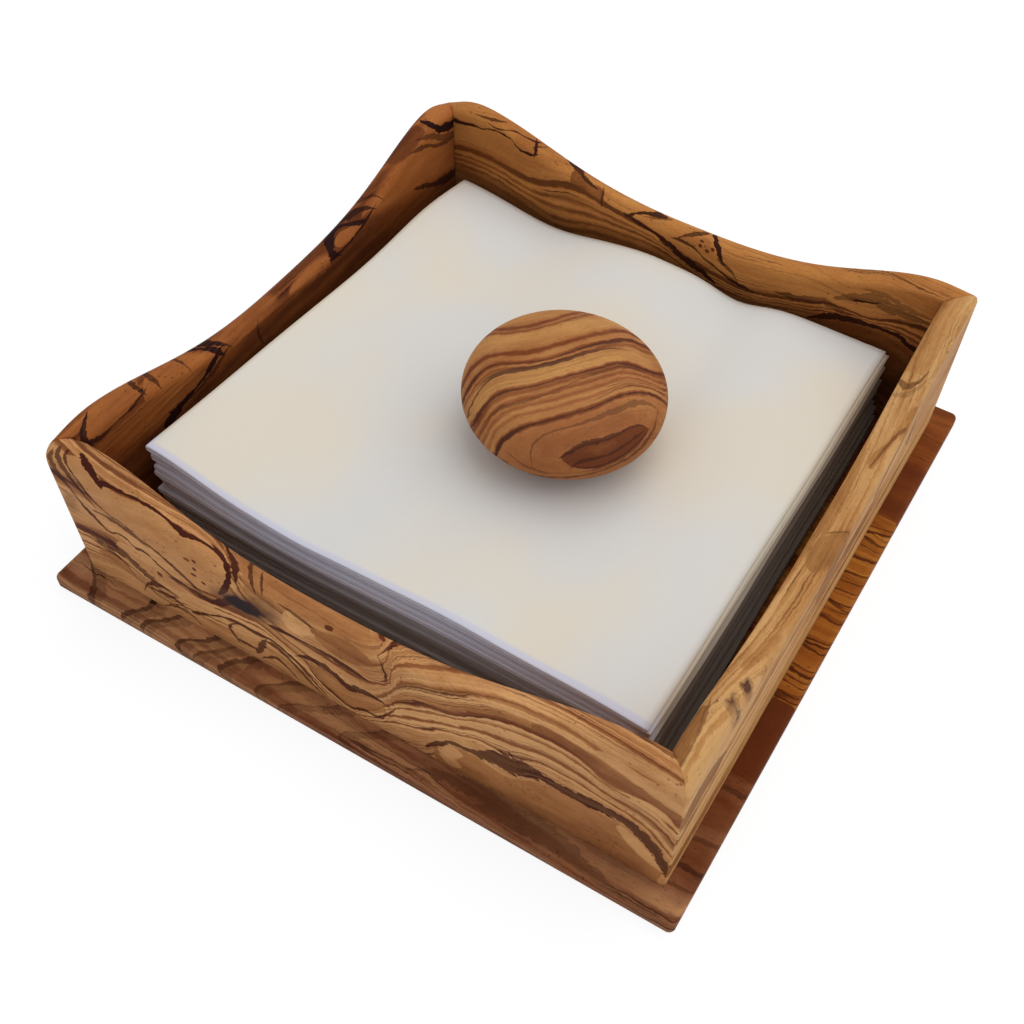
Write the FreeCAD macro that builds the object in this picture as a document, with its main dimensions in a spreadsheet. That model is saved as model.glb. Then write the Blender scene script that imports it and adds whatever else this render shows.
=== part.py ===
"""Square wooden napkin tray with wavy walls, a pile of folded napkins and a pebble weight.

The tray stands on the plane Z = 0, centred on X and Y.  X runs along the front wall, Y runs from the
front wall to the back wall.  All sizes are millimetres and come from the spreadsheet "Sizes".
"""

import FreeCAD, Part
import math
import os

import Sketcher

Vector = FreeCAD.Vector
Rotation = FreeCAD.Rotation
Placement = FreeCAD.Placement

NAPKIN_COUNT = 18
LOW_GROUP_COUNT = 6  # the napkins at the bottom of the pile that lie a little to the right of the rest
WAVE_POINTS = 24
WAVE_STEEPNESS = 1.25  # above 1 the crests and the dip flatten and the slopes between steepen
WAVE_BALANCE = 0.57  # below 1 the dip is wider than the crests
NEAR = 0.01  # two lengths closer than this are taken as equal

SIZES = {
    # walls: a square frame, mitred at the corners
    "wall_length": 200.0,
    "wall_thick": 9.0,
    "rise_front_left": 56.5,
    "rise_front_right": 57.5,
    "rise_back_left": 60.0,
    "rise_back_right": 60.0,
    "corner_drop": 3.5,
    "corner_reach": 10.5,
    # the dip in the middle of each wall's top: its depth, and how far it lies off the wall's middle as a
    # share of the wall's length
    "dip_front": 19.5,
    "dip_right": 16.3,
    "dip_back": 16.0,
    "dip_left": 15.3,
    "skew_front": 0.05,
    "skew_right": 0.02,
    "skew_back": -0.04,
    "skew_left": -0.02,
    "outer_round": 4.6,
    "inner_round": 1.5,
    # base board: three staves glued edge to edge
    "base_thick": 4.5,
    "base_width": 215.0,
    "base_depth": 218.0,
    "front_stave": 78.0,
    "middle_stave": 81.5,
    "base_round": 1.8,
    "base_corner": 2.0,
    # napkins: quarter folded, thickest where the two folds meet
    "napkin_side": 165.0,
    "napkin_thick": 1.96,
    "napkin_rise_left": 0.07,
    "napkin_rise_front": 0.15,
    "napkin_fold_round": 0.6,
    "pile_centre_x": -1.0,
    "pile_centre_y": 4.0,
    # how far single napkins lie out of line: to the side, to the back, and turned, in degrees
    "stray_x": 0.7,
    "stray_y": 0.6,
    "stray_turn": 0.25,
    "low_group_x": 2.2,
    "low_group_y": -0.8,
    # weight: a flattened pebble
    "pebble_radius": 30.4,
    "pebble_half_height": 16.1,
    "pebble_flat": 9.0,
    "pebble_x": 8.7,
    "pebble_y": -1.8,
}


def make_sheet(doc):
    """Writes the driving dimensions into a spreadsheet, one aliased cell each."""
    sheet = doc.addObject("Spreadsheet::Sheet", "Sizes")
    for row, (alias, value) in enumerate(SIZES.items(), start=1):
        sheet.set(f"A{row}", alias)
        sheet.set(f"B{row}", str(value))
        sheet.setAlias(f"B{row}", alias)
    doc.recompute()
    return sheet


def origin_plane(body, role):
    """Returns one of the body's own origin planes, such as XY_Plane."""
    return next(item for item in body.Origin.OriginFeatures if item.Role == role)


def new_body(doc, label):
    """Adds an empty body whose label names its sub-part."""
    body = doc.addObject("PartDesign::Body", label)
    body.Label = label
    return body


def new_sketch(body, role, name, offset=None):
    """Adds a sketch on an origin plane, moved by offset in the plane's own frame."""
    sketch = body.newObject("Sketcher::SketchObject", name)
    sketch.AttachmentSupport = (origin_plane(body, role), [""])
    sketch.MapMode = "FlatFace"
    if offset is not None:
        sketch.AttachmentOffset = offset
    return sketch


def add_polygon(sketch, points):
    """Draws a closed polygon and returns the indices of its lines."""
    lines = []
    for start, end in zip(points, points[1:] + points[:1]):
        segment = Part.LineSegment(Vector(*start, 0), Vector(*end, 0))
        lines.append(sketch.addGeometry(segment, False))
    for line, following in zip(lines, lines[1:] + lines[:1]):
        sketch.addConstraint(Sketcher.Constraint("Coincident", line, 2, following, 1))
    return lines


def bind_distance(sketch, name, kind, places, value, expression):
    """Adds a named distance constraint whose value follows a spreadsheet expression."""
    index = sketch.addConstraint(Sketcher.Constraint(kind, *places, value))
    sketch.renameConstraint(index, name)
    sketch.setExpression(f"Constraints.{name}", expression)


def add_rectangle(sketch, x_low, y_low, width, depth, bound):
    """Draws an upright rectangle; bound holds the expressions of x_low, y_low, width and depth."""
    x_high, y_high = x_low + width, y_low + depth
    corners = [(x_low, y_low), (x_high, y_low), (x_high, y_high), (x_low, y_high)]
    bottom, right, top, left = add_polygon(sketch, corners)
    for line in (bottom, top):
        sketch.addConstraint(Sketcher.Constraint("Horizontal", line))
    for line in (right, left):
        sketch.addConstraint(Sketcher.Constraint("Vertical", line))
    origin = (-1, 1)
    bind_distance(sketch, "low_x", "DistanceX", (*origin, bottom, 1), x_low, bound[0])
    bind_distance(sketch, "low_y", "DistanceY", (*origin, bottom, 1), y_low, bound[1])
    bind_distance(sketch, "width", "DistanceX", (bottom, 1, bottom, 2), width, bound[2])
    bind_distance(sketch, "depth", "DistanceY", (right, 1, right, 2), depth, bound[3])


def new_pad(body, sketch, name, expression):
    """Pads a sketch along its normal by a spreadsheet length."""
    pad = body.newObject("PartDesign::Pad", name)
    pad.Profile = sketch
    pad.setExpression("Length", expression)
    return pad


def fillet_edges(doc, body, base, name, expression, chosen):
    """Rounds the edges of base that the function chosen accepts."""
    doc.recompute()
    names = [f"Edge{n}" for n, edge in enumerate(base.Shape.Edges, start=1) if chosen(edge)]
    fillet = body.newObject("PartDesign::Fillet", name)
    fillet.Base = (base, names)
    fillet.setExpression("Radius", expression)
    return fillet


# ---------------------------------------------------------------------------------------------- base


def make_stave(doc, label, y_low, y_expression, depth, depth_expression, rounded_sides):
    """One board of the base, full width along X, with its outside arrises rounded.

    rounded_sides holds -1 where the stave carries the front edge and +1 where it carries the back.
    """
    half_width = SIZES["base_width"] / 2
    body = new_body(doc, label)
    plan = new_sketch(body, "XY_Plane", f"{label}_plan")
    bound = ["-Sizes.base_width / 2", y_expression, "Sizes.base_width", depth_expression]
    add_rectangle(plan, -half_width, y_low, 2 * half_width, depth, bound)
    board = new_pad(body, plan, f"{label}_board", "Sizes.base_thick")
    outside_y = [side * SIZES["base_depth"] / 2 for side in rounded_sides]

    def on_outside_edge(point):
        return any(abs(point.y - y) < NEAR for y in outside_y)

    def is_corner(edge):
        middle = edge.CenterOfMass
        return abs(middle.z - SIZES["base_thick"] / 2) < NEAR and on_outside_edge(middle)

    tip = board
    if outside_y:
        tip = fillet_edges(doc, body, board, f"{label}_corners", "Sizes.base_corner", is_corner)

    def is_top_arris(edge):
        middle = edge.CenterOfMass
        if abs(middle.z - SIZES["base_thick"]) > NEAR:
            return False
        at_end = abs(abs(middle.x) - half_width) < SIZES["base_corner"]
        return at_end or on_outside_edge(middle)

    fillet_edges(doc, body, tip, f"{label}_arris", "Sizes.base_round", is_top_arris)
    return body


def make_base(doc):
    """The three staves, seams along X, front to back."""
    half_depth = SIZES["base_depth"] / 2
    front, middle = SIZES["front_stave"], SIZES["middle_stave"]
    back = SIZES["base_depth"] - front - middle
    start = "-Sizes.base_depth / 2"
    return [
        make_stave(doc, "base_stave_front", -half_depth, start, front, "Sizes.front_stave", [-1]),
        make_stave(
            doc, "base_stave_middle", front - half_depth, f"{start} + Sizes.front_stave",
            middle, "Sizes.middle_stave", [],
        ),
        make_stave(
            doc, "base_stave_back", half_depth - back,
            f"{start} + Sizes.front_stave + Sizes.middle_stave", back,
            "Sizes.base_depth - Sizes.front_stave - Sizes.middle_stave", [1],
        ),
    ]


# --------------------------------------------------------------------------------------------- walls


def wave(position, skew):
    """Share of the dip's depth at a position from 0 to 1 along a wall: 0 at the crests, 1 in the dip."""
    turned = math.sin(math.pi * (position + skew * math.sin(math.pi * position))) ** 2
    low = turned**WAVE_STEEPNESS
    return low / (low + WAVE_BALANCE * (1 - turned) ** WAVE_STEEPNESS)


def wall_height(position, start_rise, end_rise, dip, skew):
    """Height of a wall's top above the base, with the corners sanded down a little."""
    run = position * SIZES["wall_length"]
    reach = SIZES["corner_reach"]
    corners = sum(math.exp(-((away / reach) ** 2)) for away in (run, SIZES["wall_length"] - run))
    straight = start_rise + (end_rise - start_rise) * position
    return straight - dip * wave(position, skew) - SIZES["corner_drop"] * corners


def draw_wall_face(sketch, heights):
    """Draws the face of a wall: straight foot and ends, one smooth curve along the top."""
    half, foot = SIZES["wall_length"] / 2, SIZES["base_thick"]
    step = SIZES["wall_length"] / WAVE_POINTS
    from_right = enumerate(reversed(heights))
    top_points = [Vector(half - n * step, foot + height, 0) for n, height in from_right]
    curve = Part.BSplineCurve()
    curve.interpolate(top_points)
    corners = [(-half, foot), (half, foot), (half, top_points[0].y), (-half, top_points[-1].y)]
    lines = []
    for start, end in ((0, 1), (1, 2), (3, 0)):
        segment = Part.LineSegment(Vector(*corners[start], 0), Vector(*corners[end], 0))
        lines.append(sketch.addGeometry(segment, False))
    bottom, right, left = lines
    top = sketch.addGeometry(curve, False)
    sketch.addConstraint(Sketcher.Constraint("Block", top))
    for joint in ((bottom, 2, right, 1), (right, 2, top, 1), (top, 2, left, 1), (left, 2, bottom, 1)):
        sketch.addConstraint(Sketcher.Constraint("Coincident", *joint))
    sketch.addConstraint(Sketcher.Constraint("Horizontal", bottom))
    bind_distance(sketch, "foot", "DistanceY", (-1, 1, bottom, 1), foot, "Sizes.base_thick")


def cut_mitres(body, label, side, along_x):
    """Cuts both ends of a wall at 45 degrees; side is -1 or +1, the side of the tray it stands on."""
    far, near = SIZES["wall_length"] / 2, SIZES["wall_length"] / 2 - SIZES["wall_thick"]
    spare = SIZES["wall_thick"]
    plan = new_sketch(body, "XY_Plane", f"{label}_mitre_plan")
    for end in (-1, 1):
        triangle = [
            (end * near, side * near),
            (end * (far + spare), side * near),
            (end * (far + spare), side * (far + spare)),
        ]
        if not along_x:
            triangle = [(y, x) for x, y in triangle]
        add_polygon(plan, triangle)
    cut = body.newObject("PartDesign::Pocket", f"{label}_mitres")
    cut.Profile = plan
    cut.Type = "ThroughAll"
    cut.Midplane = True
    return cut


def make_wall(doc, name, along_x, side, start_corner, end_corner):
    """One wall: a board with a wavy, rounded top and mitred ends.

    name is the wall's place, such as front; the corners name the two rises that its ends reach.
    """
    label = f"wall_{name}"
    body = new_body(doc, label)
    rises = (SIZES[f"rise_{start_corner}"], SIZES[f"rise_{end_corner}"])
    dip, skew = SIZES[f"dip_{name}"], SIZES[f"skew_{name}"]
    half, thick = SIZES["wall_length"] / 2, SIZES["wall_thick"]
    if along_x:
        # the normal of the XZ plane points to -Y
        role, distance = "XZ_Plane", half - thick if side < 0 else -half
    else:
        role, distance = "YZ_Plane", half - thick if side > 0 else -half
    face = new_sketch(body, role, f"{label}_face", Placement(Vector(0, 0, distance), Rotation()))
    heights = [wall_height(n / WAVE_POINTS, *rises, dip, skew) for n in range(WAVE_POINTS + 1)]
    draw_wall_face(face, heights)
    board = new_pad(body, face, f"{label}_board", "Sizes.wall_thick")

    def across(point):
        return point.y if along_x else point.x

    def is_top(edge, level):
        curved = edge.Curve.TypeId == "Part::GeomBSplineCurve"
        return curved and abs(across(edge.CenterOfMass) - level) < NEAR

    def is_outer(edge):
        return is_top(edge, side * half)

    def is_inner(edge):
        return is_top(edge, side * (half - thick))

    outer = fillet_edges(doc, body, board, f"{label}_outer_round", "Sizes.outer_round", is_outer)
    fillet_edges(doc, body, outer, f"{label}_inner_round", "Sizes.inner_round", is_inner)
    cut_mitres(body, label, side, along_x)
    return body


def make_walls(doc):
    """The four walls; each rises to the corner heights it shares with its neighbours."""
    return [
        make_wall(doc, "front", True, -1, "front_left", "front_right"),
        make_wall(doc, "right", False, 1, "front_right", "back_right"),
        make_wall(doc, "back", True, 1, "back_left", "back_right"),
        make_wall(doc, "left", False, -1, "front_left", "back_left"),
    ]


# ------------------------------------------------------------------------------------------- napkins


def layer_placement(layer):
    """Plane that carries napkin number layer (from 0); each one adds a little slope to the pile."""
    half = SIZES["napkin_side"] / 2
    slope_x = -layer * SIZES["napkin_rise_left"] / half
    slope_y = -layer * SIZES["napkin_rise_front"] / half
    normal = Vector(-slope_x, -slope_y, 1)
    height = SIZES["base_thick"] + layer * SIZES["napkin_thick"]
    centre = Vector(SIZES["pile_centre_x"], SIZES["pile_centre_y"], height)
    return Placement(centre, Rotation(Vector(0, 0, 1), normal))


def napkin_shift(layer):
    """How far napkin number layer lies out of line, and its small turn in degrees.

    Three sines whose periods don't match stand for the unevenness of a pile stacked by hand.
    """
    shift_x = SIZES["stray_x"] * math.sin(2.4 * layer)
    shift_y = SIZES["stray_y"] * math.sin(1.7 * layer + 1.0)
    if layer < LOW_GROUP_COUNT:
        shift_x += SIZES["low_group_x"]
        shift_y += SIZES["low_group_y"]
    return shift_x, shift_y, SIZES["stray_turn"] * math.sin(1.1 * layer)


def make_napkin(doc, layer):
    """A quarter-folded napkin as one slab, rounded along its two folded sides (left and front)."""
    label = f"napkin_{layer + 1:02d}"
    body = new_body(doc, label)
    side = SIZES["napkin_side"]
    shift_x, shift_y, turn = napkin_shift(layer)
    in_plane = Placement(Vector(shift_x, shift_y, 0), Rotation(Vector(0, 0, 1), turn))
    carrier = layer_placement(layer).multiply(in_plane)
    outline = new_sketch(body, "XY_Plane", f"{label}_outline", carrier)
    low, full = "-Sizes.napkin_side / 2", "Sizes.napkin_side"
    add_rectangle(outline, -side / 2, -side / 2, side, side, [low, low, full, full])
    over = body.newObject("PartDesign::Plane", f"{label}_over")
    over.AttachmentSupport = (origin_plane(body, "XY_Plane"), [""])
    over.MapMode = "FlatFace"
    over.AttachmentOffset = layer_placement(layer + 1)
    slab = body.newObject("PartDesign::Pad", f"{label}_slab")
    slab.Profile = outline
    slab.UseCustomVector = True
    slab.Direction = Vector(0, 0, 1)
    slab.Type = "UpToFace"
    slab.UpToFace = (over, [""])
    doc.recompute()
    centre = slab.Shape.CenterOfMass

    def is_fold(edge):
        away = edge.CenterOfMass - centre
        left = away.x < -0.4 * side and abs(away.y) < 0.1 * side
        front = away.y < -0.4 * side and abs(away.x) < 0.1 * side
        return left or front

    fillet_edges(doc, body, slab, f"{label}_folds", "Sizes.napkin_fold_round", is_fold)
    return body


# -------------------------------------------------------------------------------------------- weight


def make_pebble(doc):
    """The weight: half an ellipse turned about its own axis, flat underneath, standing on the pile."""
    body = new_body(doc, "weight_pebble")
    radius, half_height = SIZES["pebble_radius"], SIZES["pebble_half_height"]
    flat = SIZES["pebble_flat"]
    low_angle = -math.acos(flat / radius)
    drop = half_height * math.sin(low_angle)
    half_outline = new_sketch(body, "XZ_Plane", "pebble_half_outline")
    ellipse = Part.Ellipse(Vector(0, 0, 0), radius, half_height)
    outline = Part.ArcOfEllipse(ellipse, low_angle, math.pi / 2).toBSpline()
    top, bottom, rim = Vector(0, half_height, 0), Vector(0, drop, 0), Vector(flat, drop, 0)
    arc = half_outline.addGeometry(outline, False)
    axis = half_outline.addGeometry(Part.LineSegment(top, bottom), False)
    under = half_outline.addGeometry(Part.LineSegment(bottom, rim), False)
    half_outline.addConstraint(Sketcher.Constraint("Block", arc))
    for joint in ((arc, 2, axis, 1), (axis, 2, under, 1), (under, 2, arc, 1)):
        half_outline.addConstraint(Sketcher.Constraint("Coincident", *joint))
    turned = body.newObject("PartDesign::Revolution", "pebble_turned")
    turned.Profile = half_outline
    turned.ReferenceAxis = (half_outline, ["V_Axis"])
    turned.Angle = 360.0
    carrier = layer_placement(NAPKIN_COUNT)
    across = Vector(SIZES["pebble_x"] - carrier.Base.x, SIZES["pebble_y"] - carrier.Base.y, 0)
    lift = Placement(Vector(across.x, across.y, -drop), Rotation())
    body.Placement = carrier.multiply(lift)
    return body


def check_document(doc, bodies):
    """Stops when a feature failed or a sub-part is empty, broken or in more than one piece."""
    failed = [item.Name for item in doc.Objects if {"Invalid", "Error"} & set(item.State)]
    if failed:
        raise RuntimeError(f"failed features: {failed}")
    for body in bodies:
        shape = body.Shape
        if shape.isNull() or not shape.isValid() or len(shape.Solids) != 1:
            raise RuntimeError(f"bad shape: {body.Label}")


def main():
    """Builds the tray, checks it and writes one file per sub-part."""
    doc = FreeCAD.newDocument("napkin_tray")
    make_sheet(doc)
    bodies = make_base(doc) + make_walls(doc)
    bodies += [make_napkin(doc, layer) for layer in range(NAPKIN_COUNT)]
    bodies.append(make_pebble(doc))
    doc.recompute()
    check_document(doc, bodies)
    os.makedirs("parts", exist_ok=True)
    for body in bodies:
        body.Shape.exportStep(f"parts/{body.Label}.step")
        box = body.Shape.BoundBox
        print(f"{body.Label}: {body.Shape.Volume / 1000:.1f} cm3, z {box.ZMin:.2f} to {box.ZMax:.2f}")


main()
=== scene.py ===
"""Looks of a square olive-wood napkin tray: wavy walls, overhanging base, folded napkins, pebble weight.

The tray stands on Z = 0, X runs along its front wall and Y towards its back wall.  Blender's objects are in
metres; the sizes of the pieces are given in millimetres.
"""

import logging
import math
from dataclasses import dataclass
from enum import Enum
from typing import Any, Iterable, Sequence, Union

import bpy
import numpy as np
from mathutils import Matrix, Vector

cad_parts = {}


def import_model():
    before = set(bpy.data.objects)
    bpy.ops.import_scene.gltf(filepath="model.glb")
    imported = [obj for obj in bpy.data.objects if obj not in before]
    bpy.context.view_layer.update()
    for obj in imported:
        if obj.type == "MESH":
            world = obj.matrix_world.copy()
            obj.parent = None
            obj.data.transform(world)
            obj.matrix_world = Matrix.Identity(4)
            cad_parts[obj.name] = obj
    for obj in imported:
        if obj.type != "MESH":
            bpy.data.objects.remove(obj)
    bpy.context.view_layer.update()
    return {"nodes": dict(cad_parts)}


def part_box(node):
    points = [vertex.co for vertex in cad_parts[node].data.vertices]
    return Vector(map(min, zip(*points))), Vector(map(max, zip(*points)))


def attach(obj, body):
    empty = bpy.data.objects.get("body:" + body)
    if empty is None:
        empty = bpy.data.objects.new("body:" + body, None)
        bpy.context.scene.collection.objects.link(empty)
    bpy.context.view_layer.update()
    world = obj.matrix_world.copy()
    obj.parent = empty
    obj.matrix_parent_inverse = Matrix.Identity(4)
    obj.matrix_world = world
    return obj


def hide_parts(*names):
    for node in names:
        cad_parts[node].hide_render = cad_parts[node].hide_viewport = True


log = logging.getLogger("napkin_tray")

MILLIMETRE = 0.001
# drawn lines reach from 110 mm before a board's middle to 110 mm behind it, both along and across it
FACE_LOW = -110.0
FACE_SIZE = 220.0
# how far a drawn vein runs out to nothing beyond both ends
VEIN_TAPER = 1.5
# which inputs and which output of a mix node belong to numbers and to colours
MIX_SOCKETS = {"FLOAT": ((0, 2, 3), 0), "RGBA": ((0, 6, 7), 2)}

Line = tuple[tuple[float, float], ...]
Colour = tuple[float, float, float, float]
Triple = tuple[float, float, float]


def paint(code: str) -> Colour:
    """Turns a screen colour into the linear one that shaders use.

    Args:
        code: six hexadecimal digits, such as "b2885a".

    Returns:
        Red, green, blue and an alpha of one.
    """
    parts = [int(code[start : start + 2], 16) / 255 for start in (0, 2, 4)]
    linear = [part / 12.92 if part <= 0.04045 else ((part + 0.055) / 1.055) ** 2.4 for part in parts]
    return (linear[0], linear[1], linear[2], 1.0)


def on_face(line: Iterable[tuple[float, float]]) -> Line:
    """Turns a drawn line's millimetres into shares of the face's reach."""
    return tuple(((place - FACE_LOW) / FACE_SIZE, (height - FACE_LOW) / FACE_SIZE) for place, height in line)


# ------------------------------------------------------------------------------------- node arithmetic


@dataclass(frozen=True)
class Value:
    """One output in a node tree; arithmetic on it adds the nodes that work the sum out."""

    graph: "Graph"
    socket: bpy.types.NodeSocket
    is_vector: bool = False

    def __add__(self, other: "Term") -> "Value":
        """Sum of the two."""
        return self.graph.sum_of("ADD", self, other)

    def __radd__(self, other: "Term") -> "Value":
        """Sum of the two."""
        return self.graph.sum_of("ADD", other, self)

    def __sub__(self, other: "Term") -> "Value":
        """This less the other."""
        return self.graph.sum_of("SUBTRACT", self, other)

    def __rsub__(self, other: "Term") -> "Value":
        """The other less this."""
        return self.graph.sum_of("SUBTRACT", other, self)

    def __mul__(self, other: "Term") -> "Value":
        """Product of the two."""
        return self.graph.sum_of("MULTIPLY", self, other)

    def __rmul__(self, other: "Term") -> "Value":
        """Product of the two."""
        return self.graph.sum_of("MULTIPLY", other, self)

    def __truediv__(self, other: "Term") -> "Value":
        """This over the other."""
        return self.graph.sum_of("DIVIDE", self, other)

    def __pow__(self, other: "Term") -> "Value":
        """This to the power of the other."""
        return self.graph.sum_of("POWER", self, other)


Term = Union[Value, float, Sequence[float]]


class Graph:
    """A shader or geometry node tree that is filled by writing sums."""

    def __init__(self, tree: bpy.types.NodeTree) -> None:
        """Keeps the tree that the nodes go into."""
        self.tree = tree

    def node(self, kind: str, **settings: Any) -> bpy.types.Node:
        """Adds one node.

        Args:
            kind: Blender's name of the node type.
            settings: attributes to set on it.

        Returns:
            The new node.
        """
        made = self.tree.nodes.new(kind)
        for name, setting in settings.items():
            setattr(made, name, setting)
        return made

    def feed(self, socket: bpy.types.NodeSocket, term: Term) -> None:
        """Links a value to an input, or sets a plain number or vector on it.

        Args:
            socket: the input.
            term: what goes in; a number on a vector input fills all three places.
        """
        if isinstance(term, Value):
            self.tree.links.new(term.socket, socket)
        elif socket.type == "VECTOR" and not hasattr(term, "__len__"):
            socket.default_value = (term, term, term)
        else:
            socket.default_value = term

    def fill(self, node: bpy.types.Node, terms: dict[str, Any]) -> None:
        """Feeds several inputs of a node, by their names."""
        for name, term in terms.items():
            self.feed(node.inputs[name], term)

    def sum_of(self, operation: str, *terms: Term) -> Value:
        """Adds one step of arithmetic, on vectors where any term is one.

        Args:
            operation: Blender's name of the step, such as "ADD".
            terms: what it works on.

        Returns:
            The result.
        """
        has_vector = any(getattr(term, "is_vector", False) or hasattr(term, "__len__") for term in terms)
        step = self.node("ShaderNodeVectorMath" if has_vector else "ShaderNodeMath", operation=operation)
        for socket, term in zip(step.inputs, terms):
            self.feed(socket, term)
        if operation == "DOT_PRODUCT":
            return Value(self, step.outputs["Value"])
        return Value(self, step.outputs[0], has_vector)

    def vector(self, x: Term, y: Term, z: Term) -> Value:
        """Joins three numbers into a vector.

        Args:
            x: the first number.
            y: the second.
            z: the third.

        Returns:
            The vector.
        """
        joined = self.node("ShaderNodeCombineXYZ")
        self.fill(joined, {"X": x, "Y": y, "Z": z})
        return Value(self, joined.outputs[0], True)

    def parts(self, vector: Value) -> tuple[Value, Value, Value]:
        """Splits a vector into its three numbers.

        Args:
            vector: what is split.

        Returns:
            The numbers.
        """
        split = self.node("ShaderNodeSeparateXYZ")
        self.feed(split.inputs[0], vector)
        x, y, z = (Value(self, output) for output in split.outputs)
        return x, y, z

    def clamp(self, term: Value) -> Value:
        """Keeps a number between nought and one.

        Args:
            term: the number.

        Returns:
            The number, held between the two.
        """
        held = self.node("ShaderNodeMath", operation="ADD", use_clamp=True)
        self.feed(held.inputs[0], term)
        held.inputs[1].default_value = 0.0
        return Value(self, held.outputs[0])

    def smooth(self, term: Value, low: Term, high: Term) -> Value:
        """Rises smoothly from nought to one between two levels.

        Args:
            term: the number that is looked at.
            low: level of nought; above high for a fall.
            high: level of one.

        Returns:
            The smooth step.
        """
        ramp = self.node("ShaderNodeMapRange", interpolation_type="SMOOTHSTEP")
        self.fill(ramp, {"Value": term, "From Min": low, "From Max": high})
        return Value(self, ramp.outputs[0])

    def noise_node(self, place: Value, detail: float, roughness: float = 0.5) -> bpy.types.Node:
        """Adds smooth noise with features of about one unit.

        Args:
            place: where it is read.
            detail: how many finer copies are added.
            roughness: how strong the finer copies are.

        Returns:
            The node.
        """
        texture = self.node("ShaderNodeTexNoise")
        self.fill(texture, {"Vector": place, "Scale": 1.0, "Detail": detail, "Roughness": roughness})
        return texture

    def noise(self, place: Value, detail: float = 2.0, roughness: float = 0.5) -> Value:
        """Smooth noise between about nought and one."""
        return Value(self, self.noise_node(place, detail, roughness).outputs[0])

    def drift(self, place: Value, detail: float = 1.0) -> Value:
        """A noise vector about nought, for bending another pattern."""
        return Value(self, self.noise_node(place, detail).outputs[1], True) - 0.5

    def mixed(self, share: Term, first: Any, second: Any, kind: str = "FLOAT") -> Value:
        """Mixes two numbers, or two colours.

        Args:
            share: how much of the second shows.
            first: what shows at nought.
            second: what shows at one.
            kind: "FLOAT" for numbers, "RGBA" for colours.

        Returns:
            The mixture.
        """
        mixer = self.node("ShaderNodeMix", data_type=kind, clamp_factor=True)
        inputs, output = MIX_SOCKETS[kind]
        for index, term in zip(inputs, (share, first, second)):
            self.feed(mixer.inputs[index], term)
        return Value(self, mixer.outputs[output])

    def blend(self, share: Term, first: Any, second: Any) -> Value:
        """Mixes two colours."""
        return self.mixed(share, first, second, "RGBA")

    def curve(self, term: Term, points: Line) -> Value:
        """Reads a smooth curve through a few points.

        Args:
            term: where it is read, from nought to one.
            points: places and heights in order, between nought and one.

        Returns:
            The height of the curve there.
        """
        drawn = self.node("ShaderNodeFloatCurve")
        line = drawn.mapping.curves[0]
        line.points[0].location, line.points[1].location = points[0], points[-1]
        for place, height in points[1:-1]:
            line.points.new(place, height)
        drawn.mapping.update()
        self.feed(drawn.inputs["Value"], term)
        return Value(self, drawn.outputs[0])

    def object_point(self) -> Value:
        """The point that is shaded, in the tray's own frame, in millimetres."""
        coordinates = self.node("ShaderNodeTexCoord")
        return Value(self, coordinates.outputs["Object"], True) * (1 / MILLIMETRE)

    def position(self) -> Value:
        """The place of a geometry's point."""
        return Value(self, self.node("GeometryNodeInputPosition").outputs[0], True)


def new_material(name: str) -> tuple[bpy.types.Material, Graph, bpy.types.Node]:
    """Starts a material.

    Args:
        name: the material's name.

    Returns:
        The material, the graph of its nodes and its Principled shader.
    """
    material = bpy.data.materials.new(name)
    material.use_nodes = True
    return material, Graph(material.node_tree), material.node_tree.nodes["Principled BSDF"]


def add_relief(graph: Graph, shader: bpy.types.Node, height: Value, strength: float, depth: float) -> None:
    """Gives a finish its fine relief.

    Args:
        graph: the material's graph.
        shader: its Principled shader.
        height: the relief, from nought to one.
        strength: how much of it shows.
        depth: how deep it is, in millimetres.
    """
    bump = graph.node("ShaderNodeBump")
    graph.fill(bump, {"Strength": strength, "Distance": depth * MILLIMETRE, "Height": height})
    graph.tree.links.new(bump.outputs[0], shader.inputs["Normal"])


# ---------------------------------------------------------------------------------------------- finishes


class Grain(Enum):
    """Which way a board's fibres run, as rows that turn a point into (along, across, through)."""

    WALL_ALONG_X = ((1, 0, 0), (0, 0, 1), (0, 1, 0))
    WALL_ALONG_Y = ((0, 1, 0), (0, 0, 1), (1, 0, 0))
    BOARD_ALONG_X = ((1, 0, 0), (0, 1, 0), (0, 0, 1))
    WALL_TOP_ALONG_Y = ((0, 1, 0), (-1, 0, 0), (0, 0, 1))
    PEBBLE = ((0.650, 0.717, 0.250), (-0.713, 0.463, 0.526), (0.261, -0.521, 0.813))

    def board_point(self, graph: Graph, point: Value) -> Value:
        """Turns a point in the tray's frame into the board's own."""
        rows = [graph.sum_of("DOT_PRODUCT", point, row) for row in self.value]
        return graph.vector(*rows)


@dataclass(frozen=True)
class Spot:
    """A brown dot or a dark knot in a board.

    centre and reach are along, across and through the board, strength is how dark it is, and tilt turns it in
    the face, in degrees.
    """

    centre: Triple
    reach: Triple
    strength: float
    tilt: float = 0.0

    def distance(self, graph: Graph, place: Value) -> Value:
        """Squared distance from the centre.

        Args:
            graph: where the nodes go.
            place: the point in the board.

        Returns:
            The distance in units of the reach, so one on the outline.
        """
        turned = graph.node("ShaderNodeMapping", vector_type="TEXTURE")
        turn = (0, 0, math.radians(self.tilt))
        graph.fill(turned, {"Vector": place, "Location": self.centre, "Rotation": turn, "Scale": self.reach})
        away = Value(graph, turned.outputs[0], True)
        return graph.sum_of("DOT_PRODUCT", away, away)


def dots_through(face: float, rows: Sequence[Sequence[float]]) -> tuple[Spot, ...]:
    """Brown dots that run through a board, from rows of place, height, both half sizes and strength."""
    return tuple(Spot((x, z, face), (wide, high, 60.0), strength) for x, z, wide, high, strength in rows)


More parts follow.
